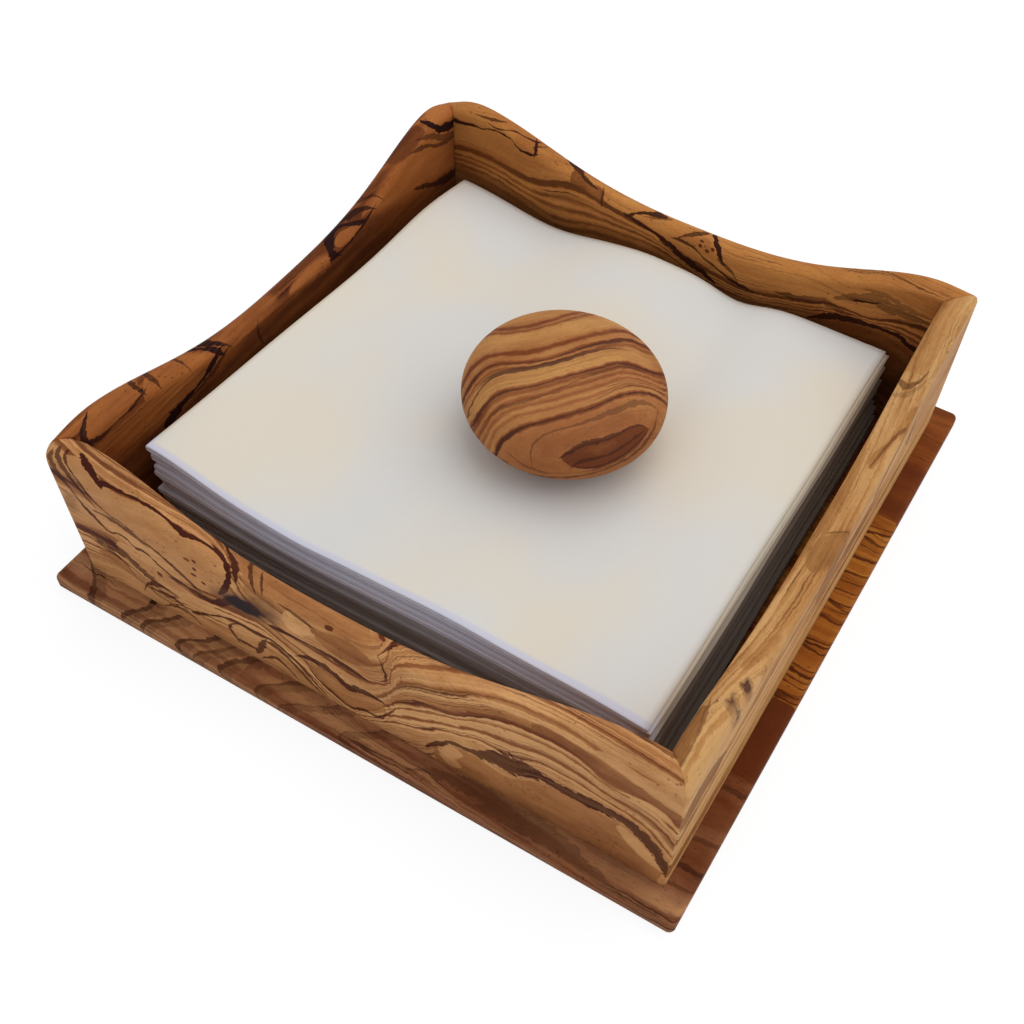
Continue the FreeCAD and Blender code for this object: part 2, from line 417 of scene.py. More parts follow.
@dataclass(frozen=True)
class Flow:
    """Three lines of the figure, bottom to top, as heights at places along the board.

    Each line has a level; the rings between two lines are spread evenly from one to the other.
    """

    levels: Triple
    lines: tuple[Line, Line, Line]

    def level(self, graph: Graph, along: Value, height: Value) -> Value:
        """Level of a place.

        Args:
            graph: where the nodes go.
            along: place along the board, as a share of the face's reach.
            height: place across it, likewise.

        Returns:
            The level, in millimetres.
        """
        low, middle, high = (graph.curve(along, on_face(line)) for line in self.lines)
        lower = graph.clamp((height - low) / (middle - low)) * (self.levels[1] - self.levels[0])
        upper = graph.clamp((height - middle) / (high - middle)) * (self.levels[2] - self.levels[1])
        beyond = graph.sum_of("MINIMUM", height - low, 0.0) + graph.sum_of("MAXIMUM", height - high, 0.0)
        return lower + upper + beyond * FACE_SIZE + self.levels[0]


@dataclass(frozen=True)
class Vein:
    """A dark ragged line in the face of a board.

    line holds heights at places along the board, ends the half widths at its two ends, and between half
    widths at places along it.  An upright vein has places along the board at heights instead.
    """

    line: Line
    ends: tuple[float, float]
    strength: float = 1.0
    upright: bool = False
    between: Line = ()

    def share(self, graph: Graph, along: Value, height: Value, ragged: Value) -> Value:
        """How much of the vein shows at a place.

        Args:
            graph: where the nodes go.
            along: place along the board, as a share of the face's reach.
            height: place across it, likewise.
            ragged: minus one, with noise that frays the edges.

        Returns:
            The share, from nought to one.
        """
        if self.upright:
            along, height = height, along
        start, end = self.line[0][0], self.line[-1][0]
        halves = ((start, self.ends[0]), *self.between, (end, self.ends[1]))
        tapered = ((start - VEIN_TAPER, 0.0), *halves, (end + VEIN_TAPER, 0.0))
        half = graph.curve(along, on_face((place, FACE_LOW + width) for place, width in tapered))
        off = graph.sum_of("ABSOLUTE", height - graph.curve(along, on_face(self.line)))
        over = graph.sum_of("MULTIPLY_ADD", half, ragged, off)
        return graph.smooth(over, 0.0, -0.3 / FACE_SIZE) * self.strength


@dataclass(frozen=True)
class Patch:
    """A shape in the face between two lines, where the wood keeps nearly one tone, and may be tinted."""

    top: Line
    bottom: Line
    tone: float
    calm: float = 0.85
    softness: float = 0.5
    tint: str = ""

    def share(self, graph: Graph, along: Value, height: Value) -> Value:
        """How much of the patch shows at a place.

        Args:
            graph: where the nodes go.
            along: place along the board, as a share of the face's reach.
            height: place across it, likewise.

        Returns:
            The share, from nought to one.
        """
        (start, first), (end, last) = self.bottom[0], self.bottom[-1]
        # beyond both ends the top line dives under the bottom one, which closes the patch
        top = ((start - 1.0, first - 4.0), *self.top, (end + 1.0, last - 4.0))
        below = graph.curve(along, on_face(top)) - height
        inside = graph.sum_of("MINIMUM", below, height - graph.curve(along, on_face(self.bottom)))
        soft = self.softness / FACE_SIZE
        return graph.smooth(inside, -soft, soft) * self.calm


def streak(length: float) -> Triple:
    """Size of a feature that is twice as long as it is wide."""
    return (length, length * 0.5, length * 0.5)


@dataclass(frozen=True)
class OliveWood:
    """Oiled olive wood, figured through its whole thickness.

    The rings are levels of one number, in millimetres across the board, bent by slow and quick noise, or led
    along drawn lines.  A tone from nought, palest, to one, brownest, follows from the level, or from order,
    which holds tones at levels.  face, slant and lean say how deep the drawn face lies in the board and how
    far the figure runs along and across with each millimetre beyond it; slope is how far the rings fall with
    each millimetre along the board, and origin is the drawn lines' nought.
    """

    name: str
    grain: Grain
    seed: float
    pale: str
    tan: str
    brown: str
    dark: str
    face: float
    lean: float
    slant: float = 0.0
    slope: float = 0.0
    origin: tuple[float, float] = (0.0, 0.0)
    wander: float = 9.0
    wander_length: float = 60.0
    ripple: float = 1.6
    ripple_length: float = 14.0
    jag: float = 0.7
    browning: float = 0.45
    contrast: float = 1.0
    spread: float = 1.0
    veins: float = 0.5
    hairs: float = 0.35
    redness: float = 0.3
    specks: float = 0.5
    knot: str = "2e2325"
    flow: Union[Flow, None] = None
    order: Line = ()
    lines: tuple[Vein, ...] = ()
    patches: tuple[Patch, ...] = ()
    dots: tuple[Spot, ...] = ()
    knots: tuple[Spot, ...] = ()

    def bent_point(self, graph: Graph, board: Value) -> Value:
        """Moves a board point a little, slowly, quickly and jaggedly, so that no line is straight.

        Args:
            graph: where the nodes go.
            board: the point.

        Returns:
            The moved point.
        """
        slow = graph.drift(board / streak(self.wander_length) + self.seed)
        quick = graph.drift(board / streak(self.ripple_length) + self.seed, 3.0)
        jag = graph.drift(board / (3.0, 2.0, 2.0) + self.seed, 2.0)
        return board + slow * self.wander * 2 + quick * self.ripple * 2 + jag * self.jag * 2

    def face_shares(self, graph: Graph, place: Value) -> tuple[Value, Value]:
        """Turns a place in the board into shares of the face's reach, along and across it.

        Args:
            graph: where the nodes go.
            place: the point in the board.

        Returns:
            The two shares, at which drawn lines are read.
        """
        low = (FACE_LOW + self.origin[0], FACE_LOW + self.origin[1], 0.0)
        along, across, _ = graph.parts((place - low) / FACE_SIZE)
        return along, across

    def ring_tone(self, graph: Graph, place: Value) -> tuple[Value, Value]:
        """Tone and thin dark lines of the rings alone.

        Args:
            graph: where the nodes go.
            place: the bent point in the board.

        Returns:
            The tone, and the share of thin dark line.
        """
        along, height, through = graph.parts(place)
        level = along * self.slope + height
        if self.flow:
            level = self.flow.level(graph, *self.face_shares(graph, place))
        grown = graph.vector(along / 90, level / self.spread, through / 45) + self.seed
        stripe = graph.smooth(graph.noise(grown / (1, 2.6, 1), 1.0), 0.47, 0.55) - 0.5
        fine = graph.noise(grown / (1, 0.6, 1), 2.0) - 0.5
        if self.order:
            # levels from -1 to 71 mm
            order = tuple(((ring + 1) / 72, tone) for ring, tone in self.order)
            tone = graph.curve((level + 1) / 72, order) + stripe * 0.12 + fine * 0.4
        else:
            broad = graph.noise(grown / (1, 8, 1), 1.0) - 0.5
            tone = (broad * 2.6 + stripe * 0.45 + fine * 0.5) * self.contrast + self.browning
        often = graph.noise(grown / (0.5, 5, 1) + 3.1, 1.0)
        thin_line = graph.sum_of("ABSOLUTE", graph.noise(grown / (1, 2.1, 1) + 7.3, 0.0) - 0.5)
        rare = 0.62 - self.veins * 0.3
        thin = graph.smooth(thin_line, 0.04, 0.012) * graph.smooth(often, rare, rare + 0.06)
        hair_line = graph.sum_of("ABSOLUTE", graph.noise(grown / (1, 1.3, 1) + 11.9, 0.0) - 0.5)
        hair = graph.smooth(hair_line, 0.07, 0.02) * graph.smooth(often, 0.4, 0.6) * self.hairs
        return tone, graph.sum_of("MAXIMUM", thin, hair)

    def drawn_veins(self, graph: Graph, board: Value, near: Value) -> Term:
        """How much of the drawn veins shows at a place.

        Args:
            graph: where the nodes go.
            board: the point in the board's own frame.
            near: the same point, slightly bent.

        Returns:
            The share, from nought to one.
        """
        shown: Term = 0.0
        along, across = self.face_shares(graph, near)
        ragged = graph.noise(board / (2.6, 1.4, 1.4) + self.seed * 3.7, 3.0, 0.6) * 2.0 - 2.0
        for line in self.lines:
            shown = graph.sum_of("MAXIMUM", line.share(graph, along, across, ragged), shown)
        return shown

    def drawn_tone(self, graph: Graph, near: Value) -> tuple[Term, Term, list[tuple[Value, str]]]:
        """Reads the drawn patches and dots.

        Args:
            graph: where the nodes go.
            near: the slightly bent point in the board.

        Returns:
            How much of the rings is hidden, the tone in its place, and the patches' tints by their shares.
        """
        calm: Term = 0.0
        tone: Term = 0.0
        tints: list[tuple[Value, str]] = []
        along, across = self.face_shares(graph, near)
        for patch in self.patches:
            share = patch.share(graph, along, across)
            tone = graph.mixed(share, tone, patch.tone)
            calm = graph.mixed(share, calm, 1.0)
            if patch.tint:
                tints.append((share, patch.tint))
        for dot in self.dots:
            tone = graph.smooth(dot.distance(graph, near), 1.1, 0.8) * dot.strength + tone
        return calm, tone, tints

    def tone_colour(self, graph: Graph, board: Value, tone: Value) -> Value:
        """Works out the wood's colour from its tone, with reddish areas.

        Args:
            graph: where the nodes go.
            board: the point in the board's own frame.
            tone: nought for the palest and one for the brownest wood; darker still above one.

        Returns:
            The colour.
        """
        colour = graph.blend(graph.clamp(tone * 2), paint(self.pale), paint(self.tan))
        colour = graph.blend(graph.clamp(tone * 2 - 1), colour, paint(self.brown))
        colour = graph.blend(graph.clamp(tone - 1.0) * 0.6, colour, paint(self.dark))
        reddish = graph.noise(board / (45, 18, 18) + self.seed * 3.1)
        return graph.blend(graph.smooth(reddish, 0.45, 0.75) * self.redness, colour, paint("8a4a1c"))

    def pored(self, graph: Graph, board: Value, colour: Value) -> Value:
        """Adds pores, specks and fibres to a colour.

        Args:
            graph: where the nodes go.
            board: the point in the board's own frame.
            colour: the colour so far.

        Returns:
            The finished colour.
        """
        pores = graph.noise(board / (1.8, 0.26, 0.26) + self.seed, 1.0)
        colour = graph.blend(graph.smooth(pores, 0.62, 0.76) * 0.45, colour, paint(self.dark))
        cells = graph.node("ShaderNodeTexVoronoi", feature="F1")
        graph.fill(cells, {"Vector": board / (2.2, 1.7, 1.7) + self.seed, "Scale": 1.0})
        speck = graph.smooth(Value(graph, cells.outputs["Distance"]), 0.27, 0.14)
        where = graph.smooth(graph.noise(board / 10 + self.seed * 4.7), 0.56, 0.62)
        colour = graph.blend(speck * where * self.specks, colour, paint("4a2316"))
        fibre = graph.noise(board / (8, 0.45, 0.45) + self.seed, 3.0, 0.7)
        shade = graph.node("ShaderNodeHueSaturation")
        graph.fill(shade, {"Value": fibre * 0.4 + 0.8, "Color": colour})
        return Value(graph, shade.outputs[0])

    def colour(self, graph: Graph, board: Value) -> tuple[Value, Value]:
        """Works out the wood's colour.

        Args:
            graph: where the nodes go.
            board: the point in the board's own frame, in millimetres.

        Returns:
            The colour, and how dark the figure is there, from nought to one.
        """
        depth = graph.parts(board)[2] - self.face
        drawn = board + graph.vector(depth * self.slant, depth * self.lean, 0.0)
        place = self.bent_point(graph, drawn)
        near = drawn + (place - drawn) * 0.45
        tone, thin = self.ring_tone(graph, place)
        calm, drawn_tone, tints = self.drawn_tone(graph, near)
        mottle = graph.noise(board / (26, 11, 11) + self.seed * 2.3, 3.0, 0.6) - 0.5
        fleck = graph.noise(board / (7, 4, 4) + self.seed * 1.3, 3.0, 0.6) - 0.5
        tone = (1 - calm) * tone + drawn_tone + mottle * 0.55 + fleck * 0.35
        colour = self.tone_colour(graph, board, tone)
        for share, tint in tints:
            colour = graph.blend(share * 0.6, colour, paint(tint))
        vein = graph.clamp(thin * (1 - calm) * 0.8 + self.drawn_veins(graph, board, near))
        colour = graph.blend(vein, colour, paint(self.dark))
        dark = graph.clamp(tone * 0.5 + vein)
        frayed = near + graph.drift(board / 2.2, 3.0) * 2.6
        for knot in self.knots:
            edge = knot.distance(graph, frayed)
            core = graph.smooth(edge, 1.0, 0.35) * knot.strength
            colour = graph.blend(graph.smooth(edge, 2.6, 0.9) * 0.6 * knot.strength, colour, paint("5a3a2c"))
            colour = graph.blend(core, colour, paint(self.knot))
            dark = dark + core
        return self.pored(graph, board, colour), dark

    def material(self) -> bpy.types.Material:
        """Makes the finish: colour, a soft oiled sheen and the fine relief of the fibres."""
        material, graph, shader = new_material(self.name)
        board = self.grain.board_point(graph, graph.object_point())
        colour, dark = self.colour(graph, board)
        fibre = graph.noise(board / (5, 0.3, 0.3) + self.seed, 2.0)
        roughness = fibre * 0.18 + graph.clamp(dark) * 0.06 + 0.42
        graph.fill(shader, {"Base Color": colour, "Roughness": roughness, "Specular IOR Level": 0.03})
        add_relief(graph, shader, fibre, strength=0.35, depth=0.06)
        return material


@dataclass(frozen=True)
class NapkinPaper:
    """Soft white paper with a fine crepe, with painted light and shade: faint warm and cool patches, and on
    the pile's sides painted light near the top that turns to painted shade lower down.
    """

    name: str = "napkin_paper"
    warm: str = "e1d8c6"
    cool: str = "dbd9d3"
    # the sides' colours are painted light and shade: tan, and lavender at the front, for the light at the top
    # of the sides; dark brown, and grey-violet at the front, for the shade and the walls' brown reflected
    # light lower down
    edge: str = "cdbfa8"
    front_edge: str = "cbcbda"
    deep: str = "655244"
    front_painted_shade: str = "857a78"

    def material(self) -> bpy.types.Material:
        """Makes the finish: off-white with faint warm and cool patches of painted light and shade, matt,
        finely creped; the pile's sides get painted light at the top and painted shade lower down.
        """
        material, graph, shader = new_material(self.name)
        point = graph.object_point()
        # faint warm and cool patches at random: painted warm light and cool shade
        patch = graph.noise(point / (46, 70, 60) + 4.2, 1.0)
        colour = graph.blend(graph.smooth(patch, 0.36, 0.64), paint(self.cool), paint(self.warm))
        # the pile's sides are about 82 mm from its middle, at x -1 and y 4; there the paper takes painted
        # light at the top and painted shade lower down
        x, y, z = graph.parts(point)
        outward = graph.sum_of("MAXIMUM", graph.sum_of("ABSOLUTE", x + 1), graph.sum_of("ABSOLUTE", y - 4))
        front = graph.smooth(y, -70, -78)
        edge = graph.blend(front, paint(self.edge), paint(self.front_edge))
        deep = graph.blend(front, paint(self.deep), paint(self.front_painted_shade))
        # painted shade: darker from 38 mm down to 27 mm, starting 3 mm lower at the front
        edge = graph.blend(graph.smooth(z + front * 3, 38, 27), edge, deep)
        colour = graph.blend(graph.smooth(outward, 80.3, 81.8) * 0.85, colour, edge)
        matt = {"Roughness": 0.9, "Specular IOR Level": 0.15, "Sheen Weight": 0.15, "Sheen Roughness": 0.6}
        graph.fill(shader, {"Base Color": colour, **matt})
        crepe = graph.noise(point / (1.7, 0.5, 1.0) + graph.drift(point / 12) * 3, 2.0)
        fibres = graph.noise(point / 0.35, 2.0)
        add_relief(graph, shader, crepe * 0.75 + fibres * 0.25, strength=0.45, depth=0.09)
        return material


# -------------------------------------------------------------------------------------------------- meshes


def new_object(name: str, mesh: bpy.types.Mesh) -> bpy.types.Object:
    """Links a mesh into the scene.

    Args:
        name: the object's name.
        mesh: its mesh.

    Returns:
        The object, at the origin.
    """
    made = bpy.data.objects.new(name, mesh)
    bpy.context.scene.collection.objects.link(made)
    return made


def new_form(name: str, sizes: Sequence[str]) -> tuple[Graph, dict[str, Value]]:
    """Starts a geometry tree with named inputs.

    Args:
        name: the tree's name.
        sizes: names of its number inputs.

    Returns:
        The tree's graph, and its number inputs by name.
    """
    tree = bpy.data.node_groups.new(name, "GeometryNodeTree")
    for size in sizes:
        tree.interface.new_socket(name=size, in_out="INPUT", socket_type="NodeSocketFloat")
    tree.interface.new_socket(name="Finish", in_out="INPUT", socket_type="NodeSocketMaterial")
    tree.interface.new_socket(name="Form", in_out="OUTPUT", socket_type="NodeSocketGeometry")
    graph = Graph(tree)
    group = graph.node("NodeGroupInput")
    return graph, {size: Value(graph, group.outputs[size]) for size in sizes}


def end_form(graph: Graph, form: bpy.types.NodeSocket, place: Value) -> None:
    """Ends a geometry tree: moves the points, makes instances real and sets the finish.

    Args:
        graph: the tree's graph.
        form: the geometry so far.
        place: where each point goes, in metres.
    """
    links = graph.tree.links
    kinds = ("SetPosition", "SetShadeSmooth", "RealizeInstances", "SetMaterial")
    steps = [graph.node(f"GeometryNode{kind}") for kind in kinds]
    for step in steps:
        links.new(form, step.inputs[0])
        form = step.outputs[0]
    graph.feed(steps[0].inputs["Position"], place)
    group = next(node for node in graph.tree.nodes if node.type == "GROUP_INPUT")
    links.new(group.outputs["Finish"], steps[-1].inputs["Material"])
    links.new(form, graph.node("NodeGroupOutput").inputs["Form"])


def grow_form(
    name: str, tree: bpy.types.NodeTree, sizes: dict[str, float], finish: bpy.types.Material
) -> bpy.types.Object:
    """Runs a geometry tree once and keeps what it makes as a plain mesh.

    Args:
        name: name of the new piece.
        tree: the geometry tree.
        sizes: its number inputs by name.
        finish: the material.

    Returns:
        The piece, at the origin.
    """
    seed_object = new_object(f"{name}_seed", bpy.data.meshes.new(f"{name}_seed"))
    modifier = seed_object.modifiers.new("form", "NODES")
    modifier.node_group = tree
    for item in tree.interface.items_tree:
        if item.in_out == "INPUT":
            modifier[item.identifier] = finish if item.name == "Finish" else float(sizes[item.name])
    depsgraph = bpy.context.evaluated_depsgraph_get()
    mesh = bpy.data.meshes.new_from_object(seed_object.evaluated_get(depsgraph))
    mesh.name = name
    seed_object.modifiers.remove(modifier)
    bpy.data.objects.remove(seed_object)
    return new_object(name, mesh)


# --------------------------------------------------------------------------------------------------- walls


FRONT_FLOW = Flow(
    (8, 27, 45),
    (
        ((-108, 4), (-95, 8), (-85, 11), (-76, 9), (-68, 6), (-60, 9), (-50, 8), (-40, 9), (-27, 11.5),
         (-15, 4), (-8, 2), (0, 1), (10, 4), (20, 7), (25, 10), (31, 17), (40, 20), (51, 18.3), (60, 24.5),
         (72, 25.7), (80, 26.8), (90, 23.5), (98, 13), (110, -8)),
        ((-108, 24), (-97, 25), (-83, 25), (-77, 21.5), (-70, 19), (-52, 23), (-38, 26), (-30, 26.5),
         (-24, 24), (-18, 20.5), (-14, 17), (-8, 10), (-2, 7.2), (6, 12), (11, 19.5), (16, 25.7),
         (24, 31.2), (35, 36.2), (41, 41.5), (50, 46.9), (60, 49), (70, 49), (80, 44.5), (92, 45),
         (98, 42.5), (110, 33)),
        ((-108, 74), (-95, 70), (-82, 62), (-72, 58.5), (-57, 57), (-45, 55), (-39, 50), (-34, 38),
         (-22, 31), (-10, 29.7), (6, 28.3), (10, 30.5), (13, 33.5), (16.5, 44), (20, 48.3), (30, 55),
         (40, 61.5), (60, 68), (80, 68), (110, 62)),
    ),
)

# tones of the front wall's rings, by level
FRONT_ORDER = (
    (-1, 0.4), (5, 0.25), (8, 0.3), (13, 0.35), (14, 0.4), (15.2, 0.1), (16.1, 0.75), (17, 0.12),
    (19, 0.08), (20.1, 0.9), (21.2, 0.15), (23.7, 0.08), (24.6, 0.8), (25.4, 0.1), (26.4, 0.15), (27.3, 1),
    (28.4, 0.6), (31.5, 0.5), (32.6, 0.12), (34.5, 0.15), (36.2, 0.7), (38, 0.3), (42, 0.22), (43.4, 0.4),
    (44.6, 0.9), (45.3, 0.85), (46, 0.3), (50, 0.5), (52, 0.3), (54, 0.8), (57, 0.3), (62, 0.6), (71, 0.4),
)

FRONT_LINES = (
    Vein(
        ((25, 10), (30, 16.5), (33, 19.5), (37, 20.3), (42, 22), (47, 24.5), (56, 26.8), (60, 28),
         (66, 27.6), (80, 29), (86, 29), (90, 27), (94, 23.5), (97, 19), (101, 12)),
        (1.2, 3), 0.85,
        between=((38, 1.2), (42, 2.2), (47, 4.4), (52, 5), (57, 3.8), (66, 1.9), (72, 2.5), (86, 2.2)),
    ),
    Vein(
        ((-80, 57.5), (-72, 58.6), (-60, 58.6), (-57, 57.2), (-54, 55), (-51, 54.3), (-47, 55.2),
         (-39, 53.5)),
        (1, 1.1), between=((-70, 1), (-62, 1.3), (-57, 1.1), (-53, 2), (-50, 1.7), (-46, 0.8)),
    ),
    Vein(
        ((32, -43.5), (36, -41), (40, -39.3), (45, -38.3), (50, -38), (53, -39), (56, -41)),
        (0.9, 1), 1.0, True, between=((40, 1.1), (48, 1.3)),
    ),
    Vein(((55.5, -79.5), (60, -81), (67, -83)), (1.2, 1.6), 1.0, True),
    Vein(
        ((-90, 53), (-86, 47.5), (-83, 44), (-80, 42.3), (-76, 41.5), (-70, 37.7), (-66, 36.2), (-59, 32),
         (-52, 27)),
        (0.55, 0.6), 0.8, between=((-84, 0.7), (-76, 0.55), (-70, 0.7)),
    ),
    Vein(((-86, 40.2), (-78, 40), (-74, 38.6), (-69, 36)), (0.45, 0.55), 0.75),
    Vein(
        ((-99, 51), (-94, 46), (-92, 42.5), (-91, 40), (-88, 37), (-83, 32.8), (-80.5, 34.2), (-77, 34),
         (-74, 31.5), (-71, 32), (-65, 28), (-62, 26.6), (-52, 24.6), (-46, 25)),
        (0.55, 0.8), 0.9,
        between=((-92, 1), (-88, 1.6), (-83, 0.7), (-77, 0.65), (-71, 0.8), (-66, 0.8), (-60, 0.65)),
    ),
    Vein(((-49, 24), (-45, 26.5), (-40, 31)), (0.6, 2)),
    Vein(((-99, 25), (-83, 25), (-80, 24), (-77, 21.3), (-69, 17.3), (-63, 16)), (0.65, 0.45), 0.75),
    Vein(((-92, 22), (-86, 21.4), (-82, 19), (-80, 15)), (0.55, 0.65), 0.65),
    Vein(((-77, 10), (-74.5, 14), (-70, 16.5), (-66, 17)), (0.7, 0.5), 0.85),
    Vein(((-75, 12.3), (-68, 13), (-63, 13), (-60.5, 10.5)), (0.45, 0.55), 0.85),
    Vein(((-70, 6), (-66, 8.7), (-61, 9.4), (-57, 7)), (0.45, 0.55), 0.75),
    Vein(
        ((-58, 11.5), (-54, 14), (-45, 19), (-42, 20.4), (-33, 20.4), (-27, 21.5)),
        (0.9, 0.55), 0.9, between=((-50, 0.55),),
    ),
    Vein(((9, -41.5), (13, -43.5), (15, -44), (19.5, -40)), (0.5, 0.65), 0.85, True, between=((19, 0.65),)),
    Vein(((9, -34.8), (13, -32.8), (19, -30)), (0.9, 0.55), 0.85, True),
    Vein(((-42, 10.3), (-34, 10.8)), (0.55, 0.6), 0.85),
    Vein(((-33, 7.5), (-30, 10), (-27.5, 11.6), (-25, 10.3), (-21, 6.5)), (0.5, 0.55), 0.85),
    Vein(((-31, 18), (-28, 19), (-24, 17), (-20, 13), (-13, 6)), (0.55, 0.55), 0.85),
    Vein(((-27, 21.5), (-21, 17.5), (-17, 13.5), (-11, 6.5)), (0.5, 0.55), 0.85),
    Vein(
        ((-19, 20), (-15, 22.5), (-9, 23), (-3, 19.5), (-1, 18.5), (2, 20.3), (12, 20.3)),
        (0.5, 0.5), 0.9,
    ),
    Vein(
        ((-15, 18), (-13, 14), (-8, 10), (-2, 7.2), (1, 8.8), (4, 10.2), (8, 10.5), (11.5, 15.5), (14, 20)),
        (0.65, 0.65), 0.85, between=((-2, 0.65), (4, 0.9)),
    ),
    Vein(((-26, 29.5), (-16, 30.5), (-4, 30.3), (6, 28.2)), (0.8, 0.6), 0.95, between=((-16, 0.55),)),
    Vein(
        ((31, 8), (34, 12.5), (42, 12.2), (45, 11.5), (47, 12.5), (54, 17), (60, 20)),
        (0.4, 0.5), 0.85, True, between=((45, 0.3),),
    ),
    Vein(((43, -36), (48, -35.2), (52, -34.9), (61, -38)), (0.5, 0.65), 0.95, True),
    Vein(((43, -29.5), (50, -29.8), (60, -28.6)), (0.3, 0.45), 0.8, True),
    Vein(((44, -27), (56, -25.3)), (0.3, 0.35), 0.8, True),
    Vein(((-21, 44), (-16, 43), (-10, 40.5)), (0.5, 0.55), 0.75),
    Vein(
        ((46, -86), (52, -88), (56, -90), (60, -90.6), (65, -88.9)),
        (0.4, 0.6), 0.85, True, between=((56, 0.6),),
    ),
    Vein(((42, -85), (48, -89.5), (53, -91.7), (58, -93.3), (65, -91.5)), (0.4, 0.5), 0.8, True),
    Vein(((45, -92), (49, -95), (54, -96.7), (61, -95)), (0.4, 0.6), 0.75, True),
)

FRONT_PATCHES = (
    Patch(((-100, 38), (-88, 44), (-54, 27)), ((-100, 26), (-82, 31), (-66, 27), (-54, 24)), 0.22, 0.6),
    Patch(
        ((-82, 29), (-78, 30.5), (-70, 30), (-66, 26.5), (-54, 22.5), (-48, 22)),
        ((-82, 24), (-78, 20), (-70, 18), (-56, 13.5), (-48, 18)),
        0.22,
    ),
    Patch(
        ((-90, 62), (-80, 64), (-78, 58), (-60, 58), (-54, 54), (-46, 54.5), (-41, 53.5), (-38.5, 50)),
        ((-90, 54), (-83, 44), (-80, 42.3), (-70, 37.7), (-62, 34.2), (-53, 28), (-47, 30), (-43, 34),
         (-38.5, 46)),
        0.34, 0.95,
    ),
    Patch(((-42.5, 16), (-40, 19.3), (-31, 19.3)), ((-42.5, 13), (-40, 11), (-31, 11)), 0.25),
    Patch(
        ((-92, 19), (-88, 20.3), (-84, 19.5), (-80, 16)),
        ((-92, 16.5), (-88, 15.4), (-80, 14)),
        0.7, 0.7, 1,
    ),
    Patch(((-33, 44), (-30, 66), (10, 66)), ((-33, 42), (-26, 41), (-4, 45), (10, 50)), 0.72, 0.6, 1.5),
    Patch(
        ((-10, 38), (-3, 43.5), (7, 42), (9, 39)),
        ((-10, 36), (-2, 32.5), (6, 35.5), (9, 38)),
        0.85, 0.75, 0.8,
    ),
    Patch(
        ((-20.5, 40), (-18, 43.3), (-14, 42.5), (-11.5, 40)),
        ((-20.5, 35), (-18, 32.5), (-11.5, 37)),
        0.1, 0.8, 0.8,
    ),
    Patch(
        ((-14, 20), (-10, 21), (0, 18.5), (10.5, 19)),
        ((-14, 17), (-8, 10), (-2, 7.5), (4, 10), (10.5, 15)),
        0.65, 0.7,
    ),
    Patch(((76, 57), (90, 56.5), (102, 57)), ((76, 54.5), (84, 52.5), (90, 50), (102, 47)), 0.15),
    Patch(
        ((58, 53), (70, 54.5), (84, 51.8), (95, 47.8), (102, 46.5)),
        ((58, 50.5), (70, 49.5), (80, 43), (89, 45.5), (98, 41), (102, 40)),
        0.85, 0.8, 0.8,
    ),
    Patch(((86, 43), (94, 44.8), (98, 41.5)), ((86, 41.5), (98, 40)), 0.08),
    Patch(
        ((27, 10), (31, 16.5), (35, 18.2), (40, 19.3), (51, 17.7), (55, 20), (60, 23.8), (80, 26),
         (90, 22.8), (98.5, 12)),
        ((27, 5), (40, -2), (90, -5), (98.5, 11)),
        0.66,
    ),
    Patch(
        ((28.5, 12.5), (31, 16.3), (34, 17.5), (36.5, 16)),
        ((28.5, 10.5), (31, 9.3), (36.5, 15)),
        0.1, 0.9, 0.6,
    ),
    Patch(((28.8, 9), (32, 10.7), (35.6, 9)), ((28.8, 8), (32, 5.2), (35.6, 7.5)), 0.2, 0.8, 0.6),
    Patch(
        ((84, 25.3), (88, 24.3), (92, 21.3), (97.8, 14)),
        ((84, 22.5), (91, 15), (97.8, 12)),
        0.1, 0.9, 0.8,
    ),
)

BACK_FLOW = Flow(
    (36, 42, 52),
    (
        ((-110, 37), (-85, 39.5), (-75, 39), (-65, 37), (-47, 33), (-32, 36.5), (-18, 38), (-8, 38),
         (18, 32), (40, 34.5), (55, 38), (62, 40), (70, 41.5), (80, 41.5), (88, 39), (110, 34)),
        ((-110, 45.5), (-92, 45.5), (-86, 47), (-78, 47.2), (-60, 45), (-54, 46), (-42, 49.8), (-30, 47.5),
         (-20, 45.5), (-8, 43.5), (0, 40), (20, 36), (30, 36), (50, 41.5), (56, 43.5), (70, 44), (82, 48),
         (110, 49)),
        ((-110, 57), (-80, 58), (-70, 59), (-60, 56), (-40, 56), (-20, 53), (5, 52), (15, 50), (50, 53),
         (60, 51), (75, 55), (85, 53.5), (110, 52)),
    ),
)

BACK_ORDER = (
    (-1, 0.8), (28, 0.85), (31, 0.5), (33, 0.95), (35, 0.5), (36, 0.85), (37, 0.4), (37.8, 0.95),
    (38.6, 0.3), (39.4, 0.95), (40.2, 0.3), (41, 0.5), (41.6, 1.2), (42.3, 1.15), (43, 0.4), (44.5, 0.35),
    (52, 0.3), (58, 0.35), (71, 0.3),
)

